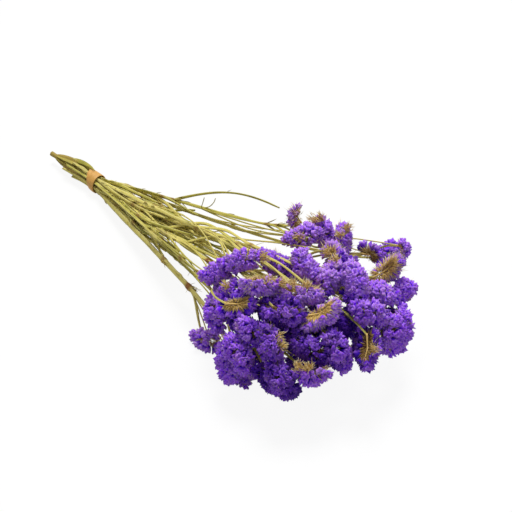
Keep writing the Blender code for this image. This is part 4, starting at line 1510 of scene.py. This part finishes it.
def shared_out(places, rows):
    """Gives each of the places, in mm from the band, to the row of points nearest to it."""
    shares = [[] for _ in rows]
    for place in map(from_band, places):
        gaps = [np.linalg.norm(to_scene(row) - place, axis=1).min() for row in rows]
        shares[int(np.argmin(gaps))].append(place)
    return shares


class STATICE_OT_stems(bpy.types.Operator):
    """Builds every winged stem with its side stalks"""
    bl_idname = "statice.stems"
    bl_label = "Stems"

    def execute(self, context):
        look = context.scene.statice_stems
        spikes, strands, placed = bunch()
        finish = stem_material(look)
        for number in range(len(STEMS)):
            name = f"stem_{number + 1:02d}"
            patches = stem_patches(number, spikes, strands, placed, look)
            make_piece("winged_" + name, patches, [finish], name)
        return {"FINISHED"}


class STATICE_OT_spikes(bpy.types.Operator):
    """Builds every flower spike with its calyces and bracts"""
    bl_idname = "statice.spikes"
    bl_label = "Flower spikes"

    def execute(self, context):
        look = context.scene.statice_flowers
        spikes, strands, placed = bunch()
        finishes = [calyx_material(look), bract_material(look)]
        carriers = {strand.spike: path for strand, path in zip(strands, placed)}
        stalks = [carriers[number] for number in range(len(spikes))]
        low = shared_out(LOW_SPRIGS, stalks)
        tufts = shared_out(LOOSE_TUFTS, [spike.middle[None] for spike in spikes])
        for number, row in enumerate(zip(spikes, stalks, low, tufts)):
            name = f"flower_spike_{number + 1:02d}"
            make_piece("papery_" + name, spike_patches(number, *row, look), finishes, name)
        return {"FINISHED"}


class STATICE_OT_band(bpy.types.Operator):
    """Winds the rubber band round the stems"""
    bl_idname = "statice.band"
    bl_label = "Rubber band"

    def execute(self, context):
        look = context.scene.statice_band
        piece = make_piece("wound_rubber_band", band_patches(look), [rubber_material(look)],
                           "rubber_band")
        piece.data.shade_smooth()
        return {"FINISHED"}


class STATICE_OT_stage(bpy.types.Operator):
    """Adds the pale floor, the soft light and the camera"""
    bl_idname = "statice.stage"
    bl_label = "Stage"

    def execute(self, context):
        look = context.scene.statice_stage
        add_floor()
        add_light(look)
        add_camera(look)
        context.scene.view_settings.view_transform = "Standard"
        return {"FINISHED"}


def seen_directly(tree):
    """An output that is 1 on rays from the camera, a gloss or clear matter, and else 0."""
    light = add_node(tree, "ShaderNodeLightPath")
    seen = light.outputs["Is Camera Ray"]
    for ray in ("Is Glossy Ray", "Is Transmission Ray"):
        either = add_node(tree, "ShaderNodeMath", {"operation": "MAXIMUM"},
                          {0: seen, 1: light.outputs[ray]})
        seen = either.outputs[0]
    return seen


def add_floor():
    """A wide white floor: mostly plain white to the camera, with a share left for shadow."""
    half = 3.0
    plain_share, plain_white = 0.84, 1.08
    mesh = bpy.data.meshes.new("floor")
    mesh.from_pydata([(-half, -half, 0), (half, -half, 0), (half, half, 0), (-half, half, 0)],
                     [], [(0, 1, 2, 3)])
    floor = bpy.data.objects.new("floor", mesh)
    bpy.context.scene.collection.objects.link(floor)
    made, tree, shader = start_material("white_paper_sweep")
    shader.inputs["Base Color"].default_value = (0.6, 0.6, 0.6, 1)
    shader.inputs["Roughness"].default_value = 0.9
    shader.inputs["Specular IOR Level"].default_value = 0.0
    part = add_node(tree, "ShaderNodeMath", {"operation": "MULTIPLY", 1: plain_share},
                    {0: seen_directly(tree)})
    glow = add_node(tree, "ShaderNodeEmission", {"Color": (1, 1, 1, 1), "Strength": plain_white})
    blend = add_node(tree, "ShaderNodeMixShader", links={
        "Fac": part.outputs[0], 1: shader.outputs[0], 2: glow.outputs[0]})
    tree.links.new(blend.outputs[0], tree.nodes["Material Output"].inputs["Surface"])
    mesh.materials.append(made)


def add_light(look):
    """One broad lamp overhead and a white surround; the camera sees the surround white."""
    lamp = bpy.data.lights.new("overhead_softbox", "SUN")
    lamp.energy = look.key
    lamp.angle = look.key_width
    key = bpy.data.objects.new("overhead_softbox", lamp)
    key.rotation_euler = (look.key_tilt, 0, look.key_turn)
    bpy.context.scene.collection.objects.link(key)
    world = bpy.context.scene.world or bpy.data.worlds.new("surround")
    bpy.context.scene.world = world
    world.use_nodes = True
    tree = world.node_tree
    tree.nodes.clear()
    strength = add_node(tree, "ShaderNodeMath", {"operation": "MULTIPLY_ADD",
                                                 1: 1.0 - look.fill, 2: look.fill},
                        {0: seen_directly(tree)})
    background = add_node(tree, "ShaderNodeBackground", {"Color": (1, 1, 1, 1)},
                          {"Strength": strength.outputs[0]})
    output = add_node(tree, "ShaderNodeOutputWorld")
    tree.links.new(background.outputs[0], output.inputs["Surface"])


# The band's place in a square frame, as shares of its width right of and above its middle.
BAND_IN_FRAME = (-0.315, 0.146)
SENSOR_WIDTH = 36.0               # mm, as the lens is


def add_camera(look):
    """A camera that looks down on the bunch, with the band in the upper left of its frame.

    Its place is the band, plus the distance back along the view, minus the ways right and
    down that put the band at the named share of a square frame.
    """
    azimuth, elevation = look.azimuth, look.elevation
    back = np.array([math.sin(azimuth) * math.cos(elevation),
                     -math.cos(azimuth) * math.cos(elevation), math.sin(elevation)])
    right = np.array([math.cos(azimuth), math.sin(azimuth), 0.0])
    up = np.cross(back, right)
    width_seen = SENSOR_WIDTH / look.lens * look.distance
    band_right, band_up = BAND_IN_FRAME
    place = (to_scene((0, TIE_SIDE, TIE_HEIGHT)) + back * look.distance
             - right * band_right * width_seen - up * band_up * width_seen)
    data = bpy.data.cameras.new("camera")
    data.lens = look.lens
    data.sensor_width = SENSOR_WIDTH
    data.clip_start = 0.05
    camera = bpy.data.objects.new("camera", data)
    camera.location = place
    camera.rotation_euler = (math.pi / 2 - elevation, 0, azimuth)
    bpy.context.scene.collection.objects.link(camera)
    bpy.context.scene.camera = camera


class STATICE_PT_panel(bpy.types.Panel):
    bl_idname = "STATICE_PT_panel"
    bl_label = "Dried Statice Bunch"
    bl_space_type = "VIEW_3D"
    bl_region_type = "UI"
    bl_category = "Statice"

    def draw(self, context):
        for group, operator in STEPS:
            box = self.layout.box()
            settings = getattr(context.scene, group)
            for key in settings.__annotations__:
                box.prop(settings, key)
            box.operator(operator)


STEPS = (("statice_stage", "statice.stage"), ("statice_stems", "statice.stems"),
         ("statice_flowers", "statice.spikes"), ("statice_band", "statice.band"))
GROUPS = {"statice_stems": StaticeStems, "statice_flowers": StaticeFlowers,
          "statice_band": StaticeBand, "statice_stage": StaticeStage}
CLASSES = (*GROUPS.values(), STATICE_OT_stems, STATICE_OT_spikes, STATICE_OT_band,
           STATICE_OT_stage, STATICE_PT_panel)


def register():
    for cls in CLASSES:
        bpy.utils.register_class(cls)
    for name, group in GROUPS.items():
        setattr(bpy.types.Scene, name, PointerProperty(type=group))


def unregister():
    for name in GROUPS:
        delattr(bpy.types.Scene, name)
    for cls in reversed(CLASSES):
        bpy.utils.unregister_class(cls)


def main():
    register()
    bpy.ops.statice.stage()
    bpy.ops.statice.stems()
    bpy.ops.statice.spikes()
    bpy.ops.statice.band()
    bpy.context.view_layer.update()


if __name__ == "__main__":
    main()
